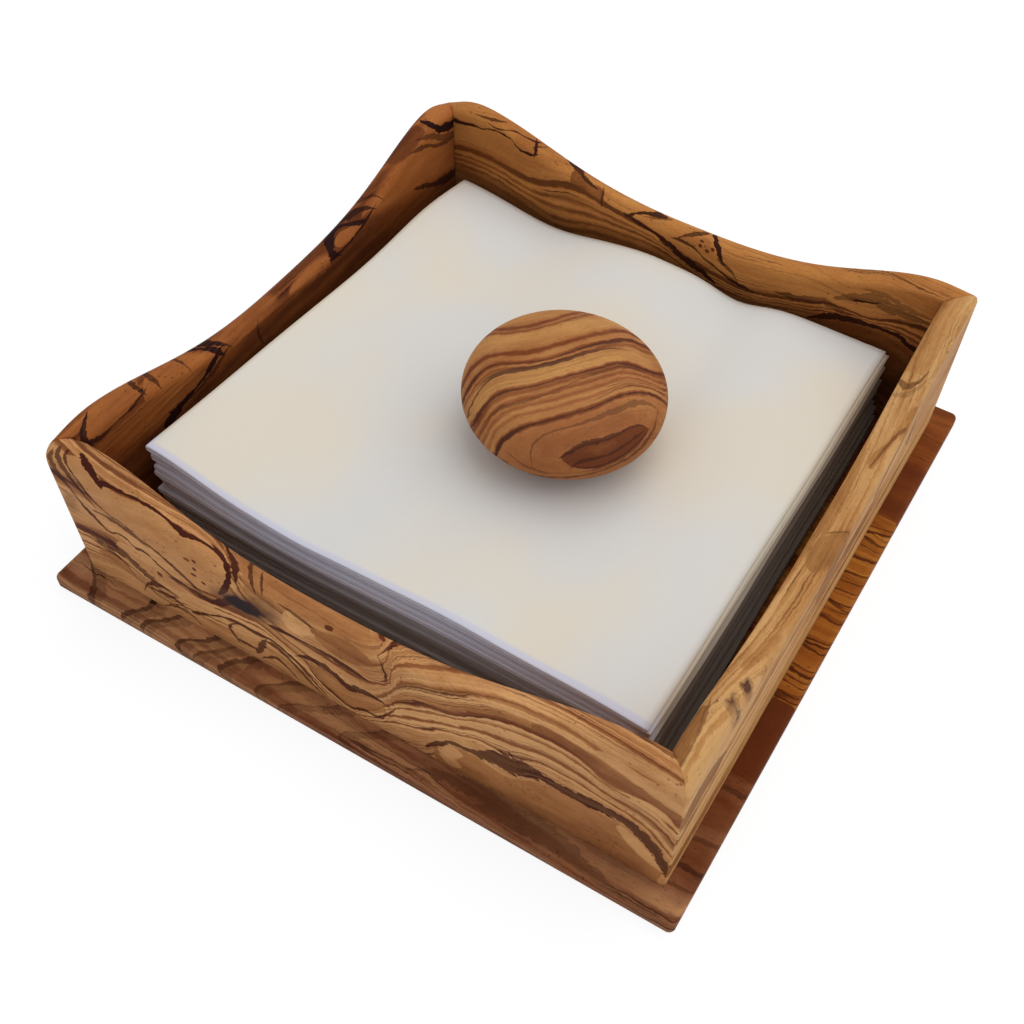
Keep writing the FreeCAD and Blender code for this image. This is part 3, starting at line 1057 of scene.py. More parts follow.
BACK_LINES = (
    Vein(
        ((-94, 56.8), (-88, 56.5), (-82, 57.6), (-79, 57.4), (-76, 58.5), (-70, 58.6), (-66, 57.5),
         (-64.5, 55.8), (-60, 54.8), (-57, 55.6)),
        (0.6, 0.5), between=((-80, 0.5), (-66, 0.5)),
    ),
    Vein(((54.8, -57.6), (58, -57), (61.5, -57.5)), (0.4, 0.5), 1.0, True),
    Vein(
        ((-76, 60.5), (-72, 60), (-66, 61.8), (-60, 61), (-56.5, 61.3)),
        (0.3, 0.5), 0.9, between=((-66, 0.4), (-57, 0.5)),
    ),
    Vein(((-57.5, 58.5), (-54, 60.3)), (0.6, 0.3), 0.9, between=((-57, 0.6),)),
    Vein(((-82, 62.3), (-75, 62.8), (-70, 64)), (0.3, 0.4), 0.8),
    Vein(((-46, 60), (-42, 57.5), (-40, 56.5), (-37, 53.8), (-33, 52.1)), (0.8, 0.5), 0.9),
    Vein(((46, -30.2), (53, -30.1)), (0.35, 0.4), 0.7, True),
    Vein(
        ((-20, 46), (-18, 47.3), (-16, 48.8), (-12, 50.3), (-6, 51.6)),
        (0.8, 1), 0.95, between=((-16, 0.7),),
    ),
    Vein(
        ((-20.5, 46.2), (-15, 45), (-10, 43.8), (-5, 42), (1, 39.5)),
        (0.8, 1), 0.95, between=((-20, 0.8), (-10, 0.8)),
    ),
    Vein(((-13, 48.6), (-4, 51.4)), (0.3, 0.5), 0.6),
    Vein(((0, 45.5), (4, 48.6), (10, 51.5)), (0.4, 0.7), 0.8),
    Vein(
        ((-2, 44.6), (5, 44.4), (8, 43.2), (10, 41.6), (15, 39.8), (20, 37.6), (30, 36)),
        (0.5, 0.4), 0.85, between=((10, 0.5),),
    ),
    Vein(
        ((42.3, 17.5), (44, 16.2), (47, 15), (50, 13.7), (54, 12.8)),
        (0.6, 0.7), 1.0, True, between=((46, 1),),
    ),
    Vein(((16, 43), (20, 41), (22.5, 39), (24.5, 36)), (0.8, 0.5), 0.7, between=((24, 0.5),)),
    Vein(((-1, 39), (4, 37.8), (9, 36.4), (15, 33.5)), (0.6, 0.8), between=((4, 1.4), (9, 1.2))),
    Vein(((38, 39.8), (46, 41), (55, 43.4), (60, 42.4), (66, 42.9)), (0.5, 0.4), 0.6),
    Vein(((58, 47), (65, 50.5), (70, 52.4), (75, 51.4), (90, 51)), (0.8, 0.5), 0.5),
    Vein(((66, 54.4), (73, 55.2), (80, 53.6), (90, 53)), (0.35, 0.4), 0.45),
    Vein(((74, 44.5), (80, 47.6), (90, 49)), (0.5, 0.6), 0.4),
    Vein(
        ((51, 34.8), (56, 38), (62, 40), (68, 41.3), (76, 42), (82, 41.7), (85, 40), (90, 38.8)),
        (0.6, 0.7), between=((76, 0.8),),
    ),
)

BACK_PATCHES = (
    Patch(((-94, 37.5), (-80, 38.5), (-66, 37), (-48, 31)), ((-94, 20), (-48, 20)), 0.75, 0.5, 1.5),
    Patch(((50, 34), (62, 39.5), (76, 41.5), (90, 38.5)), ((50, 20), (90, 20)), 0.95, 0.7, 1),
    Patch(
        ((-42.5, 55), (-40, 56.3), (-37, 53.5), (-30.2, 52.3)),
        ((-42.5, 50.5), (-36, 48.8), (-30.2, 47.3)),
        0.95, 0.9,
    ),
    Patch(((-65, 60.5), (-60, 60.5), (-57.3, 60.5)), ((-65, 57), (-62, 55.6), (-57.3, 55.6)), 0.6, 0.7),
    Patch(((-15, 47.5), (-4, 50.8), (2, 50)), ((-15, 46.2), (-4, 43.5), (2, 46)), 0.3, 0.7),
    Patch(((1, 46), (6, 48.6), (12, 49)), ((1, 45), (12, 44.5)), 0.6, 0.7),
)

LEFT_LINES = (
    Vein(
        ((-52, 59.5), (-46, 56), (-42, 52.8), (-39.5, 50.5), (-37.5, 48)),
        (0.5, 1.6), 0.95, between=((-45, 0.6), (-38, 1.6)),
    ),
    Vein(((-48, 58.8), (-40, 53.6), (-36, 50)), (0.5, 0.8), 0.9),
    Vein(
        ((-64, 40.5), (-58, 42), (-48, 44), (-43, 46), (-38, 49)),
        (2, 1.2), between=((-56, 1.3), (-48, 0.6)),
    ),
    Vein(((-52, 42), (-44, 43.2), (-38, 45.4), (-34, 47.5)), (0.3, 0.5), 0.7),
    Vein(((-39, 53.5), (-35.5, 50), (-33.5, 47.6)), (0.4, 0.6), 0.7, between=((-34, 0.6),)),
    Vein(((-58, 61.5), (-54, 57.5), (-51, 53), (-50, 50.5)), (0.35, 0.4), 0.7),
    Vein(
        ((-92, 59), (-88, 56.3), (-80, 56), (-74, 56.2), (-68, 58)),
        (0.8, 0.5), 0.8, between=((-80, 0.4),),
    ),
    Vein(((57, -68.2), (60, -70), (66, -74)), (0.5, 0.6), 0.8, True),
    Vein(((55, -62.5), (60, -65), (66, -70)), (0.3, 0.4), 0.7, True, between=((60, 1),)),
    Vein(((56, -90), (60, -91.6), (66, -90)), (0.6, 0.9), 0.9, True),
    Vein(
        ((44.5, 21.5), (46, 19.5), (49, 18.3), (53, 18.5), (58, 20)),
        (1, 2), 1.0, True, between=((48, 1.7),),
    ),
    Vein(
        ((19, 55.6), (25, 54.6), (30, 52), (34, 49.8), (38, 48)),
        (1, 0.4), 0.95, between=((28, 0.8), (34, 1.2)),
    ),
    Vein(
        ((18, 45.4), (24, 45.2), (30, 46), (36, 47.5), (43, 50.5)),
        (0.8, 0.4), 0.95, between=((24, 0.5), (32, 0.6)),
    ),
    Vein(((20, 57.6), (28, 55.8), (34, 54.6), (39, 52.5), (43, 49.5)), (0.5, 0.4), 0.85),
    Vein(((30, 59), (37, 57.5), (43, 55), (46, 52.5), (48, 49.5)), (0.35, 0.3), 0.6),
    Vein(((66, 57.6), (75, 55), (80, 52), (92, 50)), (0.6, 0.8), 0.7, between=((80, 0.9),)),
    Vein(((70, 60.5), (78, 57), (83, 53.6), (92, 51.5)), (0.5, 0.5), 0.6),
    Vein(((74, 66), (79, 60.5), (82, 57.5), (86, 56), (92, 54.5)), (1, 1.2), between=((82, 1.6),)),
    Vein(((66, 43), (73, 40), (78, 37.5), (92, 35)), (0.6, 1), 0.8, between=((78, 1.2),)),
    Vein(((38, -19.5), (43, -20.8), (47, -20)), (0.5, 0.3), 0.6, True),
)

LEFT_PATCHES = (
    # the first patch darkens the inner face below about 42 mm: painted shade down beside the pile
    Patch(((-100, 44), (-60, 42), (100, 40)), ((-100, 0), (100, 0)), 1.1, 0.6, 3),
    Patch(
        ((-68, 62), (-58, 61), (-50, 57.5), (-44, 53), (-40, 49.6)),
        ((-68, 54), (-60, 52), (-52, 50.5), (-40, 48.6)),
        0.15, 0.8, 0.8,
    ),
    Patch(((-91, 66), (-73, 66), (-69, 59)), ((-91, 59), (-88, 57), (-69, 57.5)), 0.2, 0.8, 0.8),
    Patch(
        ((-38, 51), (-32, 56), (-18, 56), (-10, 49)),
        ((-38, 50), (-26, 47), (-18, 47), (-10, 48.5)),
        0.3, 0.6, 2,
    ),
    Patch(((-4, 48), (5, 50.5), (12, 50), (17, 48)), ((-4, 46.5), (5, 44.5), (17, 44)), 0.1, 0.8, 1.5),
    Patch(
        ((21, 51), (23.5, 52.5), (28, 51.5), (35.5, 48.6)),
        ((21, 48.8), (23, 47), (27, 46.2), (35.5, 48)),
        0.35, 0.95, 0.4,
    ),
    Patch(((36, 51), (40, 54.5), (48, 51.5)), ((36, 50.5), (46, 50), (48, 51)), 0.1, 0.6, 1),
    Patch(
        ((40, 50), (50, 57), (66, 60), (92, 58)),
        ((40, 49), (50, 45), (66, 41), (92, 36)),
        0.05, 0.75, 3,
    ),
    Patch(((53, 63), (58, 67), (70, 67), (74, 62)), ((53, 62), (62, 57.5), (74, 61)), 0.95, 0.7, 0.8),
    Patch(((77, 70), (94, 70)), ((77, 63.5), (81, 59.5), (86, 58.4), (94, 58)), -0.2, 0.95),
)

# the right wall is drawn on its top face: places along the wall, and minus x
RIGHT_LINES = (
    Vein(((-98, -95.5), (-88, -96), (-80, -94.5), (-74, -92.5)), (0.3, 0.4), 0.6, between=((-88, 0.6),)),
    Vein(((-60, -99.3), (-50, -98), (-40, -98.4), (-30, -99.6)), (0.2, 0.2), 0.5, between=((-48, 0.4),)),
    Vein(((-24, -98.5), (-14, -98), (-4, -99.4)), (0.2, 0.2), 0.5, between=((-14, 0.4),)),
    Vein(((-99, 14), (-97, 8), (-94.5, 4), (-90.5, 1)), (0.2, 0.5), 0.6, True, between=((-95, 0.5),)),
    Vein(((28, -92), (38, -94.5), (45, -97), (54, -99.6)), (0.3, 0.3), 0.6, between=((45, 0.5),)),
    Vein(((30, -99.2), (38, -98.5), (46, -98.8), (52, -99.5)), (0.2, 0.2), 0.5, between=((42, 0.5),)),
    Vein(
        ((-98.5, 68), (-97.5, 62), (-95.5, 58.5), (-93, 57), (-90.5, 58)),
        (0.8, 1.3), 0.7, True, between=((-98, 0.8), (-94, 1.2)),
    ),
    Vein(((-98, 60), (-94, 54.5), (-90.5, 53.5)), (0.5, 0.8), 0.35, True),
)

RIGHT_PATCHES = (
    Patch(((-100, -93), (-85, -91), (-76, -91.5)), ((-100, -95), (-88, -95.8), (-76, -93)), 1, 0.75, 0.6),
    Patch(((-58, -92.5), (-48, -92), (-40, -94)), ((-58, -94), (-48, -95.5), (-40, -94.5)), 0.7, 0.6, 0.8),
    Patch(
        ((-14, -90), (-4, -88), (4, -94), (14, -98.5)),
        ((-14, -93), (-4, -96.5), (4, -98), (14, -99.5)),
        0.85, 0.7, 0.8,
    ),
    Patch(((28, -91.5), (40, -94.5), (54, -99)), ((28, -93), (40, -96), (54, -99.8)), 0.85, 0.6, 0.6),
    Patch(((62, -90), (100, -90)), ((62, -97), (75, -99.2), (100, -99)), 0.55, 0.6, 0.8),
)


class Side(Enum):
    """Which side of the tray a wall stands on, as the turn that takes it there from the back, in degrees."""

    BACK = 0.0
    LEFT = 90.0
    FRONT = 180.0
    RIGHT = -90.0


WALL_WOODS = {
    # the front wall's palette is raised to make up for the weaker light on its upright outer face: painted
    # light on top of the board's own colour
    Side.FRONT: OliveWood(
        "wood_wall_front", Grain.WALL_ALONG_X, 3.7, "dfa86f", "b57c4b", "7b4527", "4a2318",
        face=-100.0, lean=2.05, slant=1.0, wander=0.8, wander_length=40.0, ripple=0.9, ripple_length=11.0,
        veins=0.25, hairs=0.6, redness=0.12,
        flow=FRONT_FLOW, order=FRONT_ORDER, lines=FRONT_LINES, patches=FRONT_PATCHES,
        dots=(
            *dots_through(-96.0, (
                (-50.5, 42.0, 0.8, 0.7, 1.3), (-53.2, 41.0, 1.2, 0.6, 0.9), (-51.0, 37.8, 0.8, 0.8, 1.5),
                (-52.2, 34.4, 1.0, 0.7, 1.5), (-49.0, 32.7, 0.9, 0.7, 1.3), (-67.5, 23.8, 1.0, 1.0, 1.2),
                (14.2, 56.0, 1.1, 1.8, 1.1),
            )),
            Spot((-4.3, 45.7, -96.0), (2.0, 1.1, 60.0), 1.8, tilt=45.0),
        ),
        knots=(
            Spot((-35.0, 32.4, -96.0), (8.8, 4.0, 60.0), 1.0, tilt=8.0),
            Spot((-27.0, 38.0, -96.0), (6.0, 5.0, 60.0), 0.3),
            Spot((-96.0, 38.0, -96.0), (2.5, 5.0, 60.0), 0.25, tilt=-30.0),
        ),
    ),
    Side.RIGHT: OliveWood(
        "wood_wall_right", Grain.WALL_TOP_ALONG_Y, 11.3, "cf9f66", "b37e48", "7d4f2a", "63391f",
        face=57.0, lean=-0.4, wander=1.5, wander_length=80.0, ripple=0.6, browning=0.3, contrast=0.9,
        spread=0.5, veins=0.1, hairs=0.1, redness=0.1, specks=0.2, knot="4c2a24",
        lines=RIGHT_LINES, patches=RIGHT_PATCHES,
        knots=(
            Spot((-72.0, -97.2, 55.0), (3.0, 1.1, 4.0), 0.85, tilt=12.0),
            Spot((-63.5, -96.8, 55.0), (2.6, 1.0, 4.0), 0.85, tilt=15.0),
            Spot((88.0, -95.0, 57.0), (2.6, 0.8, 4.0), 0.4, tilt=25.0),
            Spot((-77.5, -95.5, 55.0), (0.7, 0.6, 3.0), 0.85),
            Spot((-73.5, -94.0, 55.0), (0.8, 0.5, 3.0), 0.85),
            Spot((97.0, -91.2, 57.0), (2.2, 1.0, 4.0), 0.9, tilt=40.0),
        ),
    ),
    Side.BACK: OliveWood(
        "wood_wall_back", Grain.WALL_ALONG_X, 5.2, "c98a48", "b0703a", "70401f", "3b1d12",
        face=91.0, lean=0.85, slant=0.4, wander=0.8, ripple=0.8, veins=0.15, redness=0.35,
        flow=BACK_FLOW, order=BACK_ORDER, lines=BACK_LINES, patches=BACK_PATCHES,
        dots=dots_through(94.0, (
            (8.3, 46.0, 0.8, 0.8, 1.3), (11.0, 44.8, 0.8, 0.7, 1.3), (8.6, 48.0, 0.9, 0.6, 1.0),
            (13.0, 46.3, 0.7, 0.9, 1.2),
        )),
    ),
    Side.LEFT: OliveWood(
        "wood_wall_left", Grain.WALL_ALONG_Y, 8.9, "b06c38", "8c5028", "5c2f18", "2a1512",
        face=-91.0, lean=-1.2, slant=1.0, wander=1.2, ripple=0.9, browning=0.5, contrast=0.8, veins=0.15,
        redness=0.6, lines=LEFT_LINES, patches=LEFT_PATCHES,
    ),
}


@dataclass(frozen=True)
class Corner:
    """The shape that two walls share at a corner of the tray, in millimetres.

    edge is the height of the inner edge, crown how far the crest rises above it, crest how deep the crest
    lies behind the outer face, and fall how far the top falls from the crest to the outer face.
    """

    edge: float
    crown: float
    crest: float
    fall: float


@dataclass(frozen=True)
class Wave:
    """The wave of one wall's top; it runs anticlockwise, seen from above, from the back wall's right end.

    The rises are the heights of the inner edge above the foot near both ends, before the corners are eased,
    dip is the depth of the wave and skew how far it leans to one end.  middle holds the crown, crest and
    fall half way along, and softness says how round the fall towards the inner edge is.
    """

    side: Side
    start: Corner
    end: Corner
    start_rise: float
    end_rise: float
    dip: float
    skew: float
    middle: Triple
    softness: float


FRONT_LEFT = Corner(56.5, 4.0, 4.4, 8.5)
FRONT_RIGHT = Corner(56.3, 3.1, 3.6, 8.0)
BACK_RIGHT = Corner(60.3, 1.8, 3.0, 2.8)
BACK_LEFT = Corner(54.9, 3.1, 4.9, 7.0)


@dataclass(frozen=True)
class Walls:
    """Four wavy walls, mitred at the corners, whose tops are rounded over towards the outside."""

    length: float = 200.0
    thickness: float = 9.0
    foot: float = 4.5
    cuts: tuple[int, int, int] = (181, 21, 13)
    corner_reach: float = 10.5
    edge_round: float = 0.5
    joint_gap: float = 0.002
    corner_round: float = 1.2
    corner_fade: float = 3.0
    outer_blend: float = 2.6
    steepness: float = 1.25
    balance: float = 0.57
    waves: tuple[Wave, ...] = (
        Wave(Side.BACK, BACK_LEFT, BACK_RIGHT, 56.2, 57.5, 16.95, -0.03, (3.0, 4.9, 4.5), 0.7),
        Wave(Side.RIGHT, BACK_RIGHT, FRONT_RIGHT, 57.5, 54.1, 16.0, -0.02, (0.9, 2.2, 2.4), 0.0),
        Wave(Side.FRONT, FRONT_RIGHT, FRONT_LEFT, 54.1, 53.1, 19.5, -0.05, (2.3, 3.8, 9.0), 0.1),
        Wave(Side.LEFT, FRONT_LEFT, BACK_LEFT, 54.3, 56.2, 15.05, -0.01, (3.0, 4.9, 8.0), 0.7),
    )

    def edge_height(self, graph: Graph, given: dict[str, Value], position: Value) -> Value:
        """Height of the wall's inner top edge.

        Args:
            graph: the tree's graph.
            given: the tree's inputs.
            position: from nought to one along the wall.

        Returns:
            The height, in millimetres.
        """
        bend = graph.sum_of("SINE", position * math.pi) * given["Skew"]
        turned = graph.sum_of("SINE", (position + bend) * math.pi)
        turned = turned * turned
        low = turned**self.steepness
        wave = low / (low + (1 - turned) ** self.steepness * self.balance)
        height = given["Foot"] + given["Start rise"] * (1 - position) + given["End rise"] * position
        run = position * given["Length"]
        for end, away in (("Start", run), ("End", given["Length"] - run)):
            share = away / self.corner_reach
            ease = given["Foot"] + given[f"{end} rise"] - given[f"{end} edge"]
            height = height - graph.sum_of("EXPONENT", share * share * -1) * ease
        return height - given["Dip"] * wave

    def along(self, graph: Graph, given: dict[str, Value], size: str, position: Value) -> Value:
        """A size that changes from one corner over the middle to the other.

        Args:
            graph: the tree's graph.
            given: the tree's inputs.
            size: its name, such as "crown".
            position: from nought to one along the wall.

        Returns:
            The size at that position.
        """
        start, middle, end = (given[f"{place} {size}"] for place in ("Start", "Middle", "End"))
        towards_start = graph.smooth(position, 0.4, 0.0)
        towards_end = graph.smooth(position, 0.6, 1.0)
        return middle + (start - middle) * towards_start + (end - middle) * towards_end

    def quarter(self, graph: Graph, share: Value) -> Value:
        """Fall of a quarter circle of radius one, flat at nought and upright at one."""
        held = graph.clamp(share)
        return 1 - graph.sum_of("SQRT", 1 - held * held)

    def tree(self) -> bpy.types.NodeTree:
        """Builds the tree that bends a block into a wall."""
        graph, given = new_form("wavy_wall", tuple(self.sizes(self.waves[0])))
        block = graph.node("GeometryNodeMeshCube")
        cuts = zip(("Vertices X", "Vertices Y", "Vertices Z"), self.cuts)
        graph.fill(block, {"Size": (1, 1, 1), **dict(cuts)})
        along, across, upward = graph.parts(graph.position())
        half = given["Length"] / 2
        # the points crowd towards the two faces, where the top is steepest
        depth = (1 - graph.sum_of("COSINE", (0.5 - across) * math.pi)) * given["Thickness"] / 2
        reach = half - depth - self.joint_gap
        run = along * 2 * reach
        end_depth = half - graph.sum_of("ABSOLUTE", run)
        position = (run + half) / given["Length"]
        crown, crest, fall = (self.along(graph, given, size, position) for size in ("crown", "crest", "fall"))
        outer = self.quarter(graph, (crest - depth) / crest) * fall
        end = self.quarter(graph, (crest - end_depth) / crest) * fall
        power = self.outer_blend
        rolled = (outer**power + end**power) ** (1 / power)
        inward = graph.clamp((depth - crest) / (given["Thickness"] - crest))
        soft = self.quarter(graph, inward) * given["Softness"]
        inner = (soft + inward * inward * (1 - given["Softness"])) * crown
        arris = self.quarter(graph, (depth - given["Thickness"]) / self.edge_round + 1) * self.edge_round
        top = self.edge_height(graph, given, position) + crown - inner - arris - rolled
        # the upright corner is eased: both walls draw in towards the joint
        angle = graph.clamp(1 - end_depth / self.corner_round) * math.pi / 4
        ease = (1 - graph.sum_of("COSINE", angle)) * self.corner_round
        fade = graph.clamp(1 - depth / self.corner_fade)
        shift = ease * fade * fade
        push = graph.sum_of("SIGN", run) * shift
        height = given["Foot"] + (upward + 0.5) * (top - given["Foot"])
        place = graph.vector(run - push, half - depth - shift, height)
        turn = graph.node("ShaderNodeVectorRotate", rotation_type="Z_AXIS")
        graph.fill(turn, {"Vector": place, "Angle": given["Turn"]})
        end_form(graph, block.outputs["Mesh"], Value(graph, turn.outputs[0], True) * MILLIMETRE)
        return graph.tree

    def sizes(self, wave: Wave) -> dict[str, float]:
        """Collects the tree's inputs for one wall.

        Args:
            wave: the wall's wave.

        Returns:
            The numbers by name.
        """
        given = {
            "Length": self.length,
            "Thickness": self.thickness,
            "Foot": self.foot,
            "Start rise": wave.start_rise,
            "End rise": wave.end_rise,
            "Start edge": wave.start.edge,
            "End edge": wave.end.edge,
            "Dip": wave.dip,
            "Skew": wave.skew,
            "Softness": wave.softness,
            "Turn": math.radians(wave.side.value),
        }
        for index, size in enumerate(("crown", "crest", "fall")):
            given[f"Start {size}"] = getattr(wave.start, size)
            given[f"Middle {size}"] = wave.middle[index]
            given[f"End {size}"] = getattr(wave.end, size)
        return given

    def build(self) -> list[bpy.types.Object]:
        """Makes the four walls in place of their nodes."""
        tree = self.tree()
        walls = []
        for wave in self.waves:
            name = wave.side.name.lower()
            wall = grow_form(f"wall_{name}_shaped", tree, self.sizes(wave), WALL_WOODS[wave.side].material())
            wall.data.set_sharp_from_angle(angle=math.radians(60))
            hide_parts(f"wall_{name}")
            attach(wall, "holder")
            walls.append(wall)
        return walls


# ---------------------------------------------------------------------------------------------------- base


# figure that shows on the front stave's overhang, as upright veins at depths in front of the walls
BAND_HOOKS = (
    Vein(
        ((-112, -91), (-106, -92), (-103, -94.5), (-99, -100)),
        (1.4, 0.5), 0.7, True, between=((-103, 0.9),),
    ),
    Vein(
        ((-112, -79), (-107, -77.5), (-103, -74), (-99, -75)),
        (0.8, 0.7), 0.7, True, between=((-103, 1.3),),
    ),
    Vein(
        ((-112, -71), (-107, -70.5), (-104, -67), (-99, -63)),
        (0.6, 0.8), 0.7, True, between=((-104, 1.2),),
    ),
    Vein(
        ((-112, -56), (-109, -58), (-106, -57), (-103, -52), (-99, -49)),
        (0.9, 1.2), 0.75, True, between=((-106, 0.9),),
    ),
    Vein(((-112, -52), (-108, -51), (-104, -47), (-99, -43)), (0.4, 0.6), 0.6, True),
    Vein(
        ((-112, -40), (-109, -43), (-106, -42), (-102, -38), (-99, -35)),
        (0.6, 1.6), 0.7, True, between=((-106, 1.2),),
    ),
    Vein(
        ((-112, -29), (-108, -30), (-104, -26), (-99, -18)),
        (0.6, 1.8), 0.6, True, between=((-104, 0.8),),
    ),
    Vein(((-112, -22), (-108, -20), (-104, -12), (-99, -4)), (0.5, 1.6), 0.5, True, between=((-104, 0.8),)),
    Vein(((-112, 2), (-108, -1), (-104, 4), (-99, 12)), (0.5, 1.2), 0.5, True, between=((-104, 0.6),)),
)


def soft_shade(hook: Vein) -> Vein:
    """A broad faint shade beside a vein, which widens towards the wall."""
    line = tuple((depth, place + 2.2) for depth, place in hook.line)
    return Vein(line, (1.2, 2.8), 0.3, True, between=((-105, 2.4),))


def side_streak(place: float, half_width: float, strength: float) -> Vein:
    """A short streak across the stave's right overhang."""
    line = ((98, place - 0.6), (105, place), (112, place - 0.8))
    return Vein(line, (half_width, half_width), strength)


BAND_LINES = (
    *BAND_HOOKS,
    Vein(((22, -107.5), (30, -104), (40, -102.4), (56, -102), (72, -104), (90, -107.5)), (0.4, 0.5), 0.4),
    Vein(((46, -106), (60, -105), (76, -106.5), (92, -108.6)), (0.8, 0.6), 0.35, between=((76, 1),)),
    *(side_streak(*row) for row in ((-98, 0.4, 0.39), (-92, 0.6, 0.52), (-83, 0.5, 0.455), (-66, 0.6, 0.52))),
    *(soft_shade(hook) for hook in BAND_HOOKS),
)

BAND_PATCHES = (
    Patch(((97.5, -31), (112, -31)), ((97.5, -99), (112, -100)), 0.85, 0.6, 1, "6f3613"),
    Patch(((96, -33), (112, -32)), ((96, -60), (112, -61)), 1.15, 0.85, 1.5, "5c2a12"),
    Patch(((96, -43), (104, -41), (112, -43)), ((96, -50), (104, -48), (112, -50)), 1.4, 0.8, 2),
    Patch(((96, -70), (112, -73)), ((96, -80), (112, -78)), 1, 0.7, 1.5),
    Patch(((96, -86), (112, -84)), ((96, -91), (112, -92)), 0.9, 0.7, 1.5),
    Patch(((-36, -98), (-10, -98), (4, -98)), ((-36, -106), (-28, -103), (4, -99)), 0.85, 0.6, 1.5),
    Patch(((18, -99), (60, -98), (108, -99)), ((18, -101), (60, -112), (108, -103)), 0.5, 0.5, 2),
)


def crossing(place: float, bow: float, half_width: float, strength: float) -> Vein:
    """A vein across the middle stave's right overhang.

    Args:
        place: where it starts, beside the wall.
        bow: how far it has moved at its furthest.
        half_width: half its width beside the wall.
        strength: how dark it is.

    Returns:
        The vein.
    """
    line = ((98, place), (102, place + 0.6 * bow), (107, place + bow), (112, place + 0.5 * bow))
    return Vein(line, (half_width, 0.8 * half_width), strength, between=((104, 1.2 * half_width),))


CROSSING_LINES = tuple(
    crossing(*row)
    for row in (
        (-30.2, -0.8, 0.5, 0.9), (-28.2, -0.8, 0.3, 0.7), (-24, -1, 0.35, 0.8), (-21.8, -1, 0.35, 0.8),
        (-19.2, -1.2, 0.7, 0.95), (-17, -1, 0.35, 0.8), (-9.5, -1.5, 0.5, 0.9), (-8.8, 0.8, 0.6, 0.95),
        (-7.2, 0.8, 0.4, 0.9), (4.5, -1.5, 0.5, 0.8), (10.2, 0.8, 0.4, 0.8), (15, 1, 0.4, 0.8),
        (19, 1, 0.35, 0.7), (22.8, 1.2, 0.45, 0.85), (30, 1, 0.6, 0.85), (39.5, -1.5, 0.5, 0.85),
        (40.5, 2.5, 0.6, 0.9), (43, 2.5, 0.35, 0.7),
    )
)


@dataclass(frozen=True)
class Base:
    """The base: three boards glued edge to edge, dressed as they come from the frame."""

    woods: tuple[OliveWood, ...] = (
        OliveWood(
            "wood_stave_front", Grain.BOARD_ALONG_X, 21.0, "b98659", "966545", "67341b", "3a1c10",
            face=4.5, lean=1.0, slope=0.06, wander=5.0, ripple=1.2, browning=0.5, contrast=0.8, veins=0.35,
            lines=BAND_LINES, patches=BAND_PATCHES,
        ),
        OliveWood(
            "wood_stave_middle", Grain.BOARD_ALONG_X, 34.0, "b5742e", "99581f", "6b3312", "52260f",
            face=4.5, lean=1.5, wander=5.0, ripple=1.2, browning=0.4, contrast=0.7, spread=1.1, veins=0.4,
            lines=CROSSING_LINES,
        ),
        OliveWood(
            "wood_stave_back", Grain.BOARD_ALONG_X, 47.0, "965527", "80431d", "5f2c14", "3f2112",
            face=4.5, lean=1.0, contrast=0.35, spread=2.5, veins=0.0, specks=0.1,
            patches=(Patch(((95, 76), (112, 74)), ((95, 51), (112, 51)), 0.95, 0.7, 1.5),),
        ),
    )

    def dress(self, nodes: dict[str, bpy.types.Object]) -> list[bpy.types.Object]:
        """Gives each board its own wood.

        Args:
            nodes: the frame's nodes by name.

        Returns:
            The boards.
        """
        boards = []
        for wood in self.woods:
            board = nodes[wood.name.replace("wood", "base")]
            board.data.materials.clear()
            board.data.materials.append(wood.material())
            boards.append(board)
        return boards


# ------------------------------------------------------------------------------------------------- napkins


def bells(place: Any, rows: Sequence[Triple]) -> Any:
    """Sum of smooth humps, from rows of height, middle and reach."""
    return sum(height * np.exp(-(((place - middle) / reach) ** 2)) for height, middle, reach in rows)


